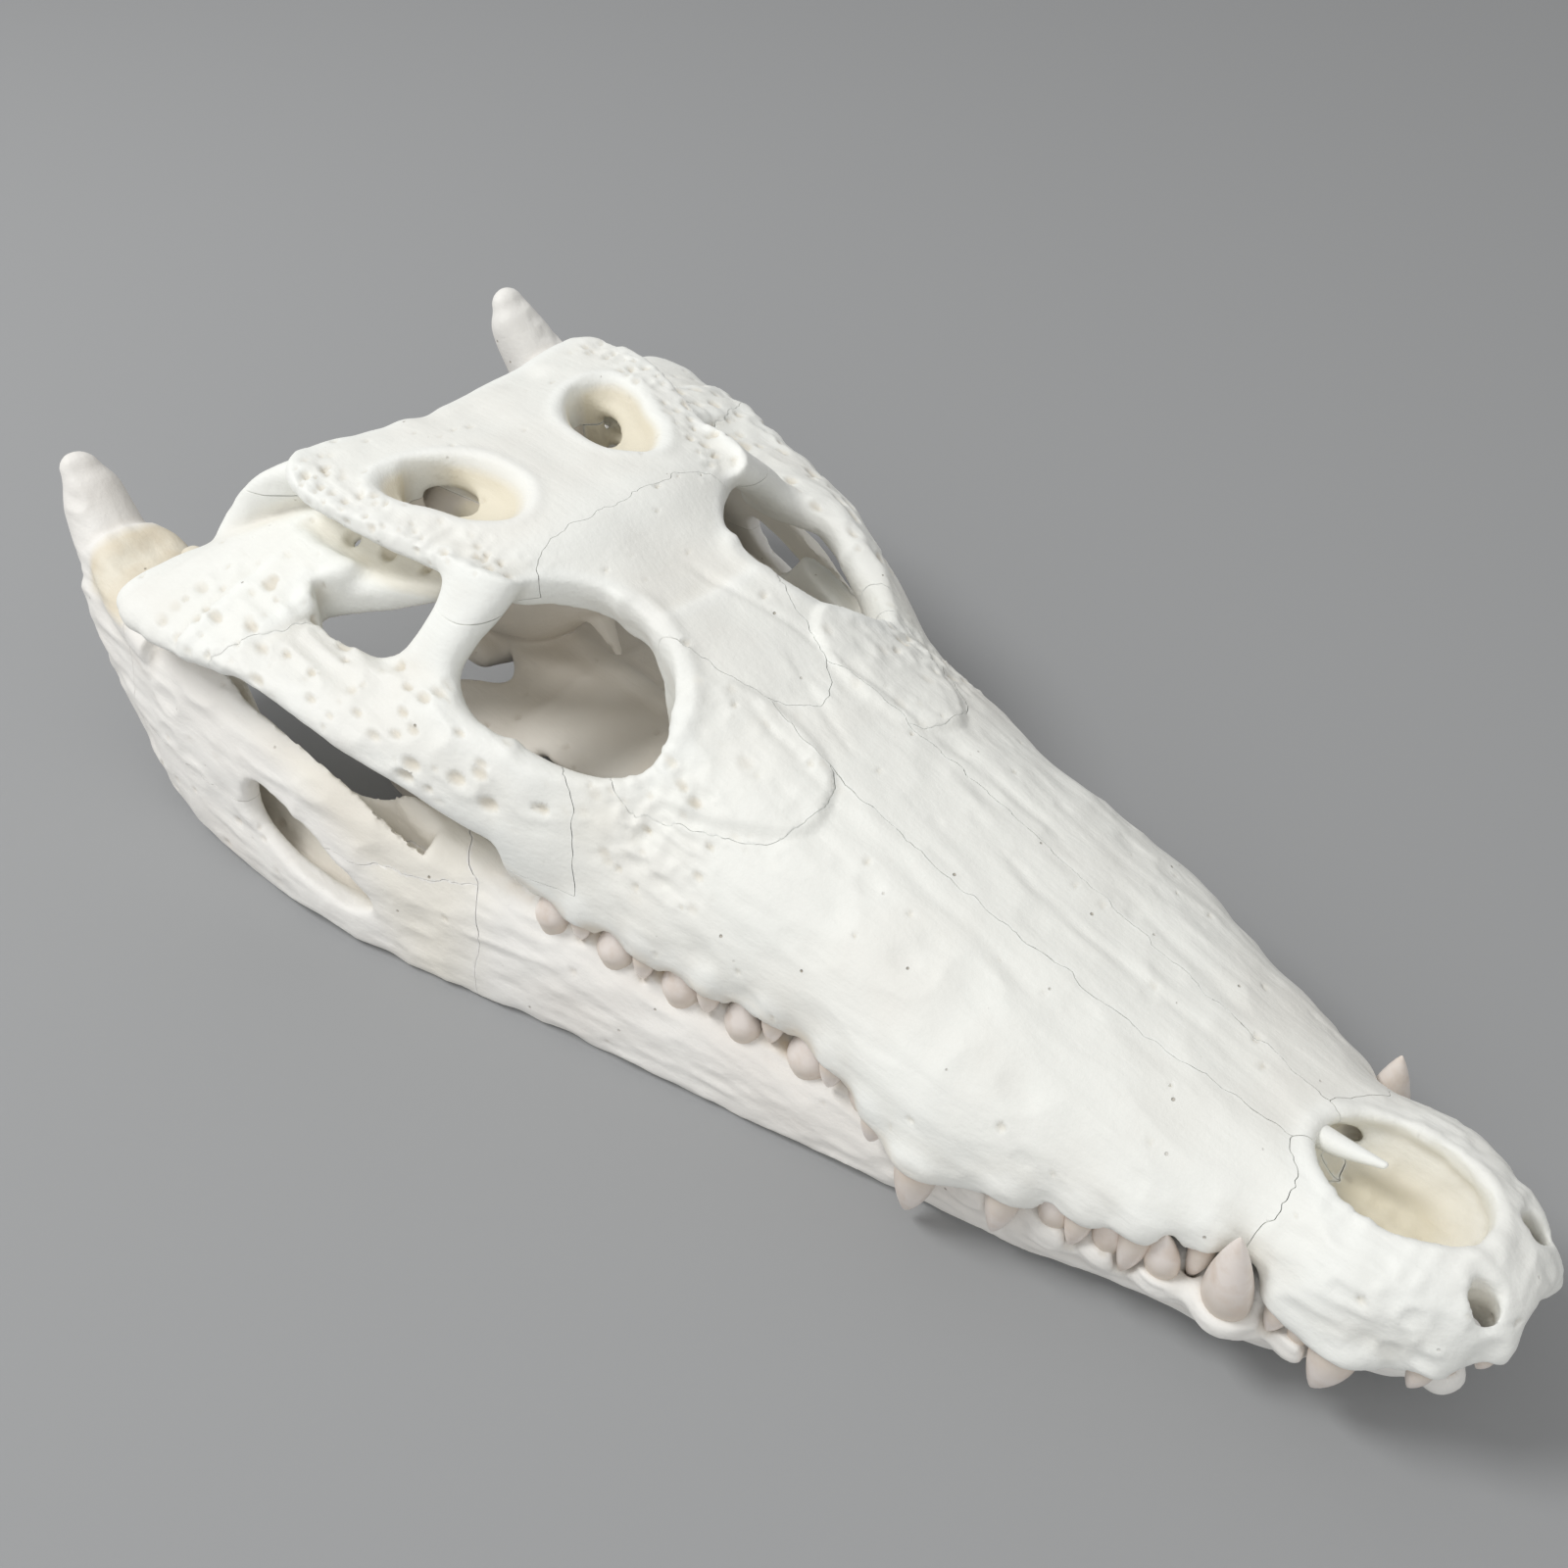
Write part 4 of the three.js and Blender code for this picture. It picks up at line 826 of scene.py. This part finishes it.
def upper_relief(points, normals):
    """The lift of each place, and how far it lies down in a pit."""
    x, z = points[:, 0], points[:, 2]
    side = np.abs(points[:, 1])
    facing = np.clip(normals[:, 2] * 2 + 1, 0.25, 1)
    lift = 0.32 * smooth_noise(points, 13, 1) + 0.14 * smooth_noise(points, 5, 2)
    snout = 0.7 * between(x, 116, 305, 16) * facing
    lift += snout * (0.2 * smooth_noise(points, 1.8, 3, (8, 1, 1)) + 0.14 * smooth_noise(points, 3.4, 11,
        (5, 1, 1)))
    lift -= 0.45 * snout * pits(points, 9, 3.3, 4, (1.3, 1, 1), 0.8)
    lift += 0.22 * snout * worms(points, 7, 12, (1.5, 1, 1))

    orbit = outline_distance(x, side, ORBIT)
    lift += 0.8 * ridge(orbit, 2.4, 2.0) * between(z, 58, 96, 5) * between(x, 60, 118, 6)
    lift -= 1.0 * ridge(points[:, 1], 0, 7) * between(x, 68, 112, 16) * between(z, 70, 96, 4)
    fossa = outline_distance(x, side, TEMPLE_FOSSA)
    lift += 0.5 * ridge(fossa, 2.4, 1.8) * between(z, 86, 96, 3)
    lift -= 0.5 * ridge(points[:, 1], 0, 4.5) * between(x, 5, 62, 10) * between(z, 86, 96, 3)

    boss = outline_distance(x, side, PREFRONTAL_BOSS)
    lift += 1.3 * np.clip(0.5 - boss / 2, 0, 1) * between(z, 50, 86, 4)
    before = between(x, 112, 138, 12) * between(side, 30, 52, 8) * between(z, 46, 80, 6)
    before = np.maximum(before, 0.25 * np.clip(0.7 - boss / 6, 0, 1) * between(z, 56, 86, 4))
    lift += before * (0.34 * worms(points, 3.8, 13, (1.4, 1, 1)) + 0.22 * worms(points, 2.4, 14, (1.6, 1, 1)))

    inside_edge = curves_of(ROOF)["half"](x) - side
    table = between(x, 2, 68, 6) * between(inside_edge, 0, 10, 5) * between(z, 84, 98, 3)
    cheek = between(x, -2, 118, 12) * between(side, 55, 92, 5) * between(z, 54, 74, 5)
    cheek *= np.clip(2.2 * normals[:, 2], 0, 1)
    lift += 0.35 * cheek * worms(points, 5, 15, (1.8, 1, 1)) + 0.25 * table * worms(points, 3.4, 16)
    rear = between(x, -12, 7, 5) * between(z, 80, 98, 4)
    lift += rear * 0.9 * smooth_noise(points, 6, 17)
    quadrate = between(x, -30, 24, 8) * between(side, 40, 92, 6) * between(z, 56, 82, 4)
    lift += 0.3 * quadrate * smooth_noise(points, 2.6, 18, (1, 6, 2))
    tip = between(x, 262, 310, 8) * facing
    lift += 0.2 * tip * worms(points, 4, 19)

    for start, end, deep, wide in GROOVES:
        lift -= deep * groove(points, start, end, wide) * facing
    round_naris = np.hypot((x - 274) / 15.6, points[:, 1] / 10.6)
    lift += 0.7 * ridge(round_naris, 1.16, 0.12) * between(z, 42, 52, 3)

    deep = pits(points, 3.1, 1.25, 5, (1.3, 1, 1), 0.85) * np.clip(1.3 * table, 0, 1)
    deep = np.maximum(deep, pits(points, 3.9, 1.6, 6, (1.8, 1, 1), 0.85) * np.clip(1.4 * cheek, 0, 1))
    deep = np.maximum(deep, pits(points, 4.2, 1.5, 7, (1.5, 1, 1), 0.75) * np.clip(1.2 * before, 0, 1))
    sparse = pits(points, 6.2, 1.0, 8, share=0.6) * facing * between(z, 24, 100, 2)
    sunk = np.maximum(deep, 0.6 * sparse)
    return lift - 0.95 * deep - 0.7 * sparse, sunk


def jaw_relief(points, normals):
    x, z = points[:, 0], points[:, 2]
    outward = np.clip(normals[:, 1] * np.sign(points[:, 1]) * 2 + 0.6, 0, 1)
    lift = 0.3 * smooth_noise(points, 12, 31) + 0.12 * smooth_noise(points, 4.5, 32)
    front = between(x, 84, 300, 20)
    lift += front * (0.22 * smooth_noise(points, 1.8, 33, (9, 1, 1)) + 0.2 * worms(points, 4, 34, (4, 1, 1)))
    rear = between(x, -70, 84, 20) * outward
    lift += rear * (0.26 * worms(points, 5.5, 35, (2, 1, 1)) + 0.2 * smooth_noise(points, 1.9, 36, (6, 1, 1)))
    lift += 0.7 * ridge(z, 34 + 0.13 * (70 - x), 3) * between(x, -20, 84, 20) * outward
    angle = between(x, -60, 30, 16) * between(z, 0, 30, 8) * outward
    deep = pits(points, 5, 1.5, 37, (1.4, 1, 1), 0.8) * angle * 0.8
    sparse = pits(points, 7.5, 1.1, 38, (1.5, 1, 1), 0.5) * outward
    return lift - 0.7 * deep - 0.5 * sparse, np.maximum(deep, 0.6 * sparse)


# Tints carried by the points: painted shade in crevices and porous pits, a cream tint that is partly the
# bone's own yellower tone and partly painted shade in hollows, and stained places


def upper_tints(points, crevice_shade, sunk):
    x, z = points[:, 0], points[:, 2]
    side = np.abs(points[:, 1])
    fossa = np.clip(0.6 - outline_distance(x, side, TEMPLE_FOSSA) / 2, 0, 1) * between(z, 66, 89.5, 2)
    nostril = np.clip(1.1 - np.hypot((x - 274) / 16, points[:, 1] / 11.5), 0, 1) * 4 * between(z, 30, 44, 2)
    ear = between(x, 2, 50, 6) * between(side, 28, 46, 4) * between(z, 73, 82, 2)
    inner = between(x, 8, 116, 8) * between(side, -60, 52, 8) * between(z, 18, 60, 8)
    edge = curves_of(SNOUT)["edge"](x)
    gum = between(x, 98, 200, 20) * between(z - edge, -3, 5, 3)
    # painted shade in crevices, deeper still in the pits
    return {"crevice_shade": np.clip(crevice_shade + 0.6 * sunk, 0, 1),
            # yellower tone in the temple fossae, painted shade in the nostril, the ear groove and under the
            # roof
            "cream_and_shade": np.clip(np.maximum.reduce([0.9 * fossa, 0.4 * nostril, 0.5 * ear, 0.2 * inner]), 0, 1),
            "stain": np.clip(0.35 * gum, 0, 1)}


def jaw_tints(points, crevice_shade, sunk):
    x, z = points[:, 0], points[:, 2]
    side = np.abs(points[:, 1])
    socket = between(x, -53, -30, 4) * between(z, 49, 64, 3)
    upper = curves_of(RAMUS)["upper"](x)
    gum = between(x, 96, 210, 20) * between(z - upper, -1.2, 4, 1.6)
    inner = between(x, -20, 90, 14) * between(side, 55, 80, 4) * between(z, 2, 44, 5)
    # painted shade in crevices, deeper still in the pits
    return {"crevice_shade": np.clip(crevice_shade + 0.6 * sunk, 0, 1),
            # tan of the jaw socket, and painted shade on the inside of the jaw
            "cream_and_shade": np.clip(np.maximum(0.75 * socket, 0.35 * inner), 0, 1),
            "stain": np.clip(0.25 * socket + 0.75 * gum, 0, 1)}


# Parting into bones

SUTURE = 0.16


def mesh_of(points, faces, attributes=None):
    mesh = bpy.data.meshes.new("bone")
    mesh.from_pydata(points.tolist(), [], faces)
    for key, values in (attributes or {}).items():
        layer = mesh.attributes.new(key, "FLOAT", "POINT")
        layer.data.foreach_set("value", np.asarray(values, np.float32))
    return mesh


def jagged(ring):
    """Gives a cut the small zigzags of a suture, the same at the same place."""
    place = np.column_stack([ring, np.zeros(len(ring))])
    across = 0.8 * smooth_noise(place, 3.4, 41) + 0.5 * smooth_noise(place, 1.3, 42)
    along = 0.8 * smooth_noise(place, 3.4, 43) + 0.5 * smooth_noise(place, 1.3, 44)
    return ring + np.column_stack([along, across])


def prism(outline, low, high, grow=0.0, turn=1, across="z"):
    """A region inside an outline in x and y or, across "y", in x and z."""
    ring = jagged(through(outline, np.linspace(0, 1, 36 * len(outline) + 1)[:-1], closed=True))
    following = np.roll(ring, -1, axis=0)
    area = np.sum(ring[:, 0] * following[:, 1] - following[:, 0] * ring[:, 1])
    along = following - np.roll(ring, 1, axis=0)
    outwards = np.column_stack([along[:, 1], -along[:, 0]]) * np.sign(area)
    ring = ring + grow * outwards / np.linalg.norm(outwards, axis=1, keepdims=True)
    count = len(ring)
    points = np.vstack([np.column_stack([ring, np.full(count, level)]) for level in (low - grow,
        high + grow)])
    if across == "y":
        points = points[:, [0, 2, 1]]
    points[:, 1] *= turn
    faces = [list(range(count))[::-1], list(range(count, 2 * count))]
    faces += [[i, (i + 1) % count, count + (i + 1) % count, count + i] for i in range(count)]
    if np.sign(area) * turn * (-1 if across == "y" else 1) < 0:
        faces = [face[::-1] for face in faces]
    return mesh_of(points, faces)


def solid(shape, turn=1):
    points, quads, triangles = shape
    faces = quads.tolist() + triangles.tolist()
    if turn < 0:
        faces = [face[::-1] for face in faces]
    return mesh_of(points * (1, turn, 1), faces)


def combined(mesh, other, operation):
    """What a boolean operation with another closed mesh leaves."""
    first = bpy.data.objects.new("first", mesh)
    second = bpy.data.objects.new("second", other)
    for made in (first, second):
        bpy.context.scene.collection.objects.link(made)
    modifier = first.modifiers.new("cut", "BOOLEAN")
    modifier.object = second
    modifier.operation = operation
    modifier.solver = "MANIFOLD"
    graph = bpy.context.evaluated_depsgraph_get()
    result = bpy.data.meshes.new_from_object(first.evaluated_get(graph))
    for made in (first, second):
        bpy.data.objects.remove(made)
    return result


def parted(rest, region):
    """The piece of the rest inside a region, and what is left beyond a hairline gap."""
    piece = combined(rest, region(0), "INTERSECT")
    left = combined(rest, region(SUTURE), "DIFFERENCE")
    return piece, left


def premaxilla_region(grow):
    return prism([(256, 5.5), (262, 16), (259, 26), (262, 44), (320, 44), (320, -44), (262, -44), (259, -26),
                  (262, -16), (256, -5.5), (263, -3), (263, 3)], 0, 80, grow)


def table_region(grow):
    return prism([(-20, 60), (30, 62), (58, 58), (72, 50), (74, 33), (66, 24), (66, 0), (66, -24), (74, -33),
                  (72, -50), (58, -58), (30, -62), (-20, -60)], 80.5, 110, grow)


def frontal_region(grow):
    return prism([(63, 33), (74, 30), (90, 21), (104, 15), (122, 9), (131, 0), (122, -9), (104, -15),
        (90, -21),
                  (74, -30), (63, -33)], 66, 110, grow)


def nasal_region(grow):
    g = grow
    points, quads, triangles = strap([
        ((110 - g, -6 - g, 78), (110 - g, 6 + g, 78), 20 + 2 * g),
        ((135, -11 - g, 70), (135, 11 + g, 70), 16 + 2 * g),
        ((165, -11.5 - g, 62), (165, 11.5 + g, 62), 15 + 2 * g),
        ((205, -10 - g, 53), (205, 10 + g, 53), 15 + 2 * g),
        ((245, -6.5 - g, 45), (245, 6.5 + g, 45), 14 + 2 * g),
        ((268 + g, -4 - g, 45), (268 + g, 4 + g, 45), 14 + 2 * g),
    ], square=6, steps=170, sides=24)
    points[:, :2] = jagged(points[:, :2])
    return solid((points, quads, triangles))


def prefrontal_region(grow, turn):
    return prism([(92, 18), (100, 8), (128, 4), (148, 16), (146, 30), (128, 40), (112, 44), (104, 36),
        (96, 26)],
                 52, 110, grow, turn)


def quadrate_region(grow, turn):
    return prism([(-60, 24), (0, 27), (30, 27), (60, 23), (58, 34), (30, 58), (24, 70), (8, 96), (-60, 100)],
                 40, 80.2, grow, turn)


def jugal_region(grow, turn):
    return prism([(0, 60), (20, 50), (60, 26), (76, 34), (84, 44), (98, 47), (112, 56), (118, 66), (100, 92),
                  (0, 100)], 40.8, 80.2, grow, turn)


def palate_region(grow):
    return prism([(-20, -70), (70, -70), (88, -54), (100, -40), (122, -26), (126, 0), (122, 26), (100, 40),
                  (88, 54), (70, 70), (-20, 70)], 0, 40.5, grow)


def ectopterygoid_region(grow, turn):
    return prism([(28, 52), (50, 52), (75, 52), (100, 52), (122, 52), (122, 82), (75, 84), (28, 82)], 10,
        60, grow, turn)


def maxilla_region(grow):
    return prism([(90, 0), (125, 0), (160, 0), (195, 0), (230, 0), (265, 0), (302, 0), (302, 92), (195, 94),
                  (90, 92)], -2, 122, grow)


def front_region(grow):
    return prism([(92, -92), (92, -50), (92, 0), (92, 50), (92, 92), (300, 95), (306, 0), (300, -95)], -4,
        124, grow)


NASAL_SPINE = [(254, 0, 41.5), (262, 0, 42.8), (270, 0, 45.4)]


def nasal_spine(grow):
    return solid(rod(NASAL_SPINE, [2.8 + grow, 2.1 + grow, 0.8 + grow]))


# Making the upper skull and the lower jaw

SIDES = (("left", 1), ("right", -1))
UPPER_LOW, UPPER_HIGH = (-30, 0, 14), (306, 94, 98)
LOWER_LOW, LOWER_HIGH = (-82, -2, -3), (302, 96, 76)


# this crevice amount drives the painted shade in the bone colour
def crevices(block, field, points):
    """How far each place lies in a crevice, from 0 to 1."""
    return np.clip(-sampled(block, blurred(field, 8), points) / 1.2, 0, 1)


SCRAP = 400      # a loose part of a bone with fewer points than this is a scrap


def drop_scraps(mesh):
    """Drops the loose scraps that the cuts leave."""
    ends = np.empty(2 * len(mesh.edges), np.int32)
    mesh.edges.foreach_get("vertices", ends)
    first, second = ends.reshape(-1, 2).T
    label = np.arange(len(mesh.vertices))
    while True:
        lower = np.minimum(label[first], label[second])
        joined = label.copy()
        np.minimum.at(joined, first, lower)
        np.minimum.at(joined, second, lower)
        joined = joined[joined]
        if (joined == label).all():
            break
        label = joined
    keep = np.bincount(label)[label] >= SCRAP
    shape = bmesh.new()
    shape.from_mesh(mesh)
    bmesh.ops.delete(shape, geom=[v for v, kept in zip(list(shape.verts), keep) if not kept], context="VERTS")
    shape.to_mesh(mesh)
    shape.free()


def placed_piece(name, mesh, material, slot, nodes=()):
    """A Blender object in the frame, from a mesh in millimetres at the modelling place."""
    if nodes:
        drop_scraps(mesh)
    mesh.transform(Matrix.Scale(0.001, 4) @ Matrix.Translation(FRAME_SHIFT))
    mesh.name = name
    mesh.shade_smooth()
    mesh.set_sharp_from_angle(angle=math.radians(62))
    mesh.materials.clear()
    mesh.materials.append(material)
    made = bpy.data.objects.new(name, mesh)
    bpy.context.scene.collection.objects.link(made)
    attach(made, "root")
    if nodes:
        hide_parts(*nodes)


def whole_upper():
    half = Block(UPPER_LOW, UPPER_HIGH)
    whole = Block((UPPER_LOW[0], -VOXEL * (half.shape[1] - 1), UPPER_LOW[2]), UPPER_HIGH)
    field = upper_field(half)
    field = blurred(np.concatenate([field[:, :0:-1], field], axis=1), 1)
    points, quads = surface(whole, field)
    points = relaxed(points, quads)
    normals = vertex_normals(points, quads)
    lift, sunk = upper_relief(points, normals)
    tints = upper_tints(points, crevices(whole, field, points), sunk)
    return mesh_of(points + normals * lift[:, None], quads.tolist(), tints)


def make_upper():
    rest = whole_upper()
    premaxilla, rest = parted(rest, premaxilla_region)
    table, rest = parted(rest, table_region)
    frontal, rest = parted(rest, frontal_region)
    nasals, rest = parted(rest, nasal_region)
    premaxilla = combined(premaxilla, nasal_spine(SUTURE), "DIFFERENCE")
    rest = combined(rest, nasal_spine(SUTURE), "DIFFERENCE")
    nasals = combined(nasals, nasal_spine(0), "UNION")
    for name, mesh in (("premaxilla", premaxilla), ("skull_table", table), ("frontal", frontal),
            ("nasals", nasals)):
        placed_piece(name + "_bone", mesh, bone, "bone", (name,))
    for side, turn in SIDES:
        for name, region in (("prefrontal", prefrontal_region), ("quadrate", quadrate_region),
                ("jugal", jugal_region)):
            piece, rest = parted(rest, lambda grow: region(grow, turn))
            placed_piece(f"{name}_{side}_bone", piece, bone, "bone", (f"{name}_{side}",))
    palate, rest = parted(rest, palate_region)
    for side, turn in SIDES:
        piece, palate = parted(palate, lambda grow: ectopterygoid_region(grow, turn))
        placed_piece(f"ectopterygoid_{side}_bone", piece, inner_bone, "inner_bone",
            (f"ectopterygoid_{side}",))
    placed_piece("palate_bone", palate, inner_bone, "inner_bone", ("palate",))
    front, case = parted(rest, front_region)
    left, right = parted(front, maxilla_region)
    for side, mesh in (("left", left), ("right", right)):
        placed_piece(f"maxilla_{side}_bone", mesh, bone, "bone", (f"maxilla_{side}",))
    placed_piece("braincase_bone", case, inner_bone, "inner_bone", ("braincase",))


def dentary_region(grow, turn):
    return prism([(68, 50), (92, 72), (84, 96), (300, 60), (330, 30), (330, -20), (220, -20)], -10, 90,
        grow, turn)


def articular_region(grow, turn):
    return prism([(-100, 40), (-64, 38), (-30, 40), (-30, 55), (-30, 70), (-30, 85), (-30, 102), (-64, 104),
                  (-100, 102)], -5, 90, grow, turn)


def surangular_region(grow, turn):
    return prism([(-32, 25), (-10, 24), (20, 23.5), (60, 27), (85, 30), (112, 33.5), (112, 90), (40, 92),
        (-32, 90)],
                 20, 110, grow, turn, "y")


def make_lower():
    block = Block(LOWER_LOW, LOWER_HIGH)
    field = blurred(lower_field(block), 1)
    points, quads = surface(block, field)
    points = relaxed(points, quads)
    crevice_shade = crevices(block, field, points)
    for side, turn in SIDES:
        placed = points * (1, turn, 1)
        faces = quads if turn > 0 else quads[:, ::-1]
        normals = vertex_normals(placed, faces)
        lift, sunk = jaw_relief(placed, normals)
        tints = jaw_tints(placed, crevice_shade, sunk)
        placed = placed + normals * lift[:, None]
        placed[:, 1] = turn * np.maximum(turn * placed[:, 1], 0.1)
        placed[:, 2] = np.maximum(placed[:, 2], REST_LEVEL)
        rest = mesh_of(placed, faces.tolist(), tints)
        for name, region in (("dentary", dentary_region), ("articular", articular_region),
                             ("surangular", surangular_region)):
            piece, rest = parted(rest, lambda grow: region(grow, turn))
            placed_piece(f"{name}_{side}_bone", piece, jaw_bone, "jaw_bone", (f"{name}_{side}",))
        placed_piece(f"angular_{side}_bone", rest, jaw_bone, "jaw_bone", (f"angular_{side}",))


# Teeth

POINTED = [(-3.5, 0.8), (-1, 0.93), (0, 0.98), (0.12, 1.0), (0.3, 0.93), (0.5, 0.77), (0.68, 0.57),
    (0.82, 0.38),
           (0.92, 0.21), (0.98, 0.09), (1, 0.02)]
BLUNT = [(-3.5, 0.95), (-1, 1.02), (0, 1.08), (0.14, 1.12), (0.32, 1.04), (0.5, 0.86), (0.66, 0.64),
    (0.8, 0.42),
         (0.92, 0.22), (0.98, 0.09), (1, 0.02)]


def tooth(root, way, long, wide, hook, profile, grow=0.0):
    """A closed mesh of one tooth that grows from `root` along `way`, its tip hooked inwards."""
    way = np.asarray(way, float) / np.linalg.norm(way)
    forward = np.array([1.0, 0, 0]) - way[0] * way
    forward /= np.linalg.norm(forward)
    side = np.cross(way, forward)
    steps = np.linspace(0, len(profile) - 1, 26)
    heights = [h if h < 0 else h * (long + grow) for h, _ in profile]
    heights = np.interp(steps, np.arange(len(profile)), heights)
    scales = table_curve(np.arange(len(profile)), [s for _, s in profile])(steps) * wide + grow
    angles = np.linspace(0, 2 * math.pi, 22, endpoint=False)
    rings = []
    for height, scale in zip(heights, scales):
        bend = (height / long) ** 2 if height > 0 else 0
        middle = root + way * height + np.asarray(hook) * bend
        rings.append(middle + np.outer(super_cos(angles, 1.85), 1.05 * scale * forward)
                     + np.outer(super_sin(angles, 1.85), 0.9 * scale * side))
    return loft(rings), np.concatenate([np.repeat(heights / long, 22), [heights[0] / long, 1]])


class Variation:
    """The same small spread of sizes that the solids have."""

    def __init__(self, seed):
        self.seed = seed

    def __call__(self, amount):
        self.seed = (self.seed * 16807) % 2147483647
        return 1 + amount * (2 * self.seed / 2147483647 - 1)


def sized_rows():
    vary = Variation(11)
    rows = []
    for row in (PREMAXILLA_TEETH, MAXILLA_TEETH, DENTARY_TEETH):
        rows.append([(entry[0], entry[1] * vary(0.05),
            entry[2] * vary(0.04)) + tuple(entry[3:]) for entry in row])
    return rows[0] + rows[1], rows[2]


def upper_teeth(grow=0.0):
    for x, long, wide in sized_rows()[0]:
        hook = (-0.06 * long, -0.1 * long, 0)
        yield tooth(upper_tooth_place(x, wide), UPPER_TOOTH_WAY, long, wide, hook, POINTED, grow)


def lower_teeth(grow=0.0):
    for x, long, wide, outward in sized_rows()[1]:
        hook = (-0.05 * long, -0.05 * long, 0)
        profile = BLUNT if x < BLUNT_BEFORE else POINTED
        yield tooth(lower_tooth_place(x, wide, outward), LOWER_TOOTH_WAY, long, wide, hook, profile, grow)


def upper_tooth_shapes(grow):
    return [shape for shape, along in upper_teeth(grow)]


def lower_tooth_shapes(grow):
    return [shape for shape, along in lower_teeth(grow)]


def make_teeth():
    for name, teeth, slot in (("upper_teeth_", upper_teeth, "bone"),
            ("lower_teeth_", lower_teeth, "jaw_bone")):
        for side, turn in SIDES:
            points, faces, along, start = [], [], [], 0
            for (tooth_points, quads, triangles), height in teeth():
                points.append(tooth_points * (1, turn, 1))
                for face in quads.tolist() + triangles.tolist():
                    faces.append([start + i for i in (face if turn > 0 else face[::-1])])
                along.append(height)
                start += len(tooth_points)
            mesh = mesh_of(np.vstack(points), faces, {"along": np.concatenate(along)})
            placed_piece(name + side, mesh, enamel, slot)


make_upper()
make_lower()
make_teeth()

# Camera, floor and light

CAMERA_PLACE = np.array([304.59, -184.40, 278.50])
CAMERA_FORWARD = Vector((-0.52350738, 0.51862842, -0.67599156))
CAMERA_DOWN = Vector((0.48197809, -0.47398846, -0.73690709))
CAMERA_RIGHT = Vector((0.70259315, 0.71158943, 0.00183108))
FOCAL_PIXELS = 1559.0
PHOTO_PIXELS = 1600.0


def make_camera():
    data = bpy.data.cameras.new("camera")
    data.sensor_width = 36.0
    data.lens = FOCAL_PIXELS / PHOTO_PIXELS * data.sensor_width
    data.clip_start = 0.01
    camera = bpy.data.objects.new("camera", data)
    turn = Matrix((CAMERA_RIGHT, -CAMERA_DOWN, -CAMERA_FORWARD)).transposed().to_4x4()
    camera.matrix_world = Matrix.Translation((CAMERA_PLACE + FRAME_SHIFT) / 1000) @ turn
    bpy.context.scene.collection.objects.link(camera)
    bpy.context.scene.camera = camera


def make_floor():
    mesh = bpy.data.meshes.new("floor")
    reach = 4.0
    mesh.from_pydata([(-reach, -reach, 0), (reach, -reach, 0), (reach, reach, 0), (-reach, reach, 0)],
                     [], [(0, 1, 2, 3)])
    material, tree, bsdf = shader("floor_paper", 0.9)
    bsdf.inputs["Base Color"].default_value = linear(158, 159, 160)
    mesh.materials.append(material)
    floor = bpy.data.objects.new("floor", mesh)
    bpy.context.scene.collection.objects.link(floor)


def make_light(name, place, target, size, power):
    data = bpy.data.lights.new(name, "AREA")
    data.shape = "DISK"
    data.size = size
    data.energy = power
    light = bpy.data.objects.new(name, data)
    way = Vector(target) - Vector(place)
    light.matrix_world = Matrix.Translation(place) @ way.to_track_quat("-Z", "Y").to_matrix().to_4x4()
    bpy.context.scene.collection.objects.link(light)


make_camera()
make_floor()
make_light("key", (-0.7, -0.6, 1.3), (0, 0, 0.04), 0.6, 12.5)
make_light("fill", (0.7, -1.0, 0.5), (0, 0, 0.04), 1.0, 3)
world = bpy.data.worlds.new("studio")
world.use_nodes = True
world.node_tree.nodes["Background"].inputs["Color"].default_value = (1, 1, 1, 1)
world.node_tree.nodes["Background"].inputs["Strength"].default_value = 0.5
bpy.context.scene.world = world
bpy.context.scene.view_settings.view_transform = "Standard"
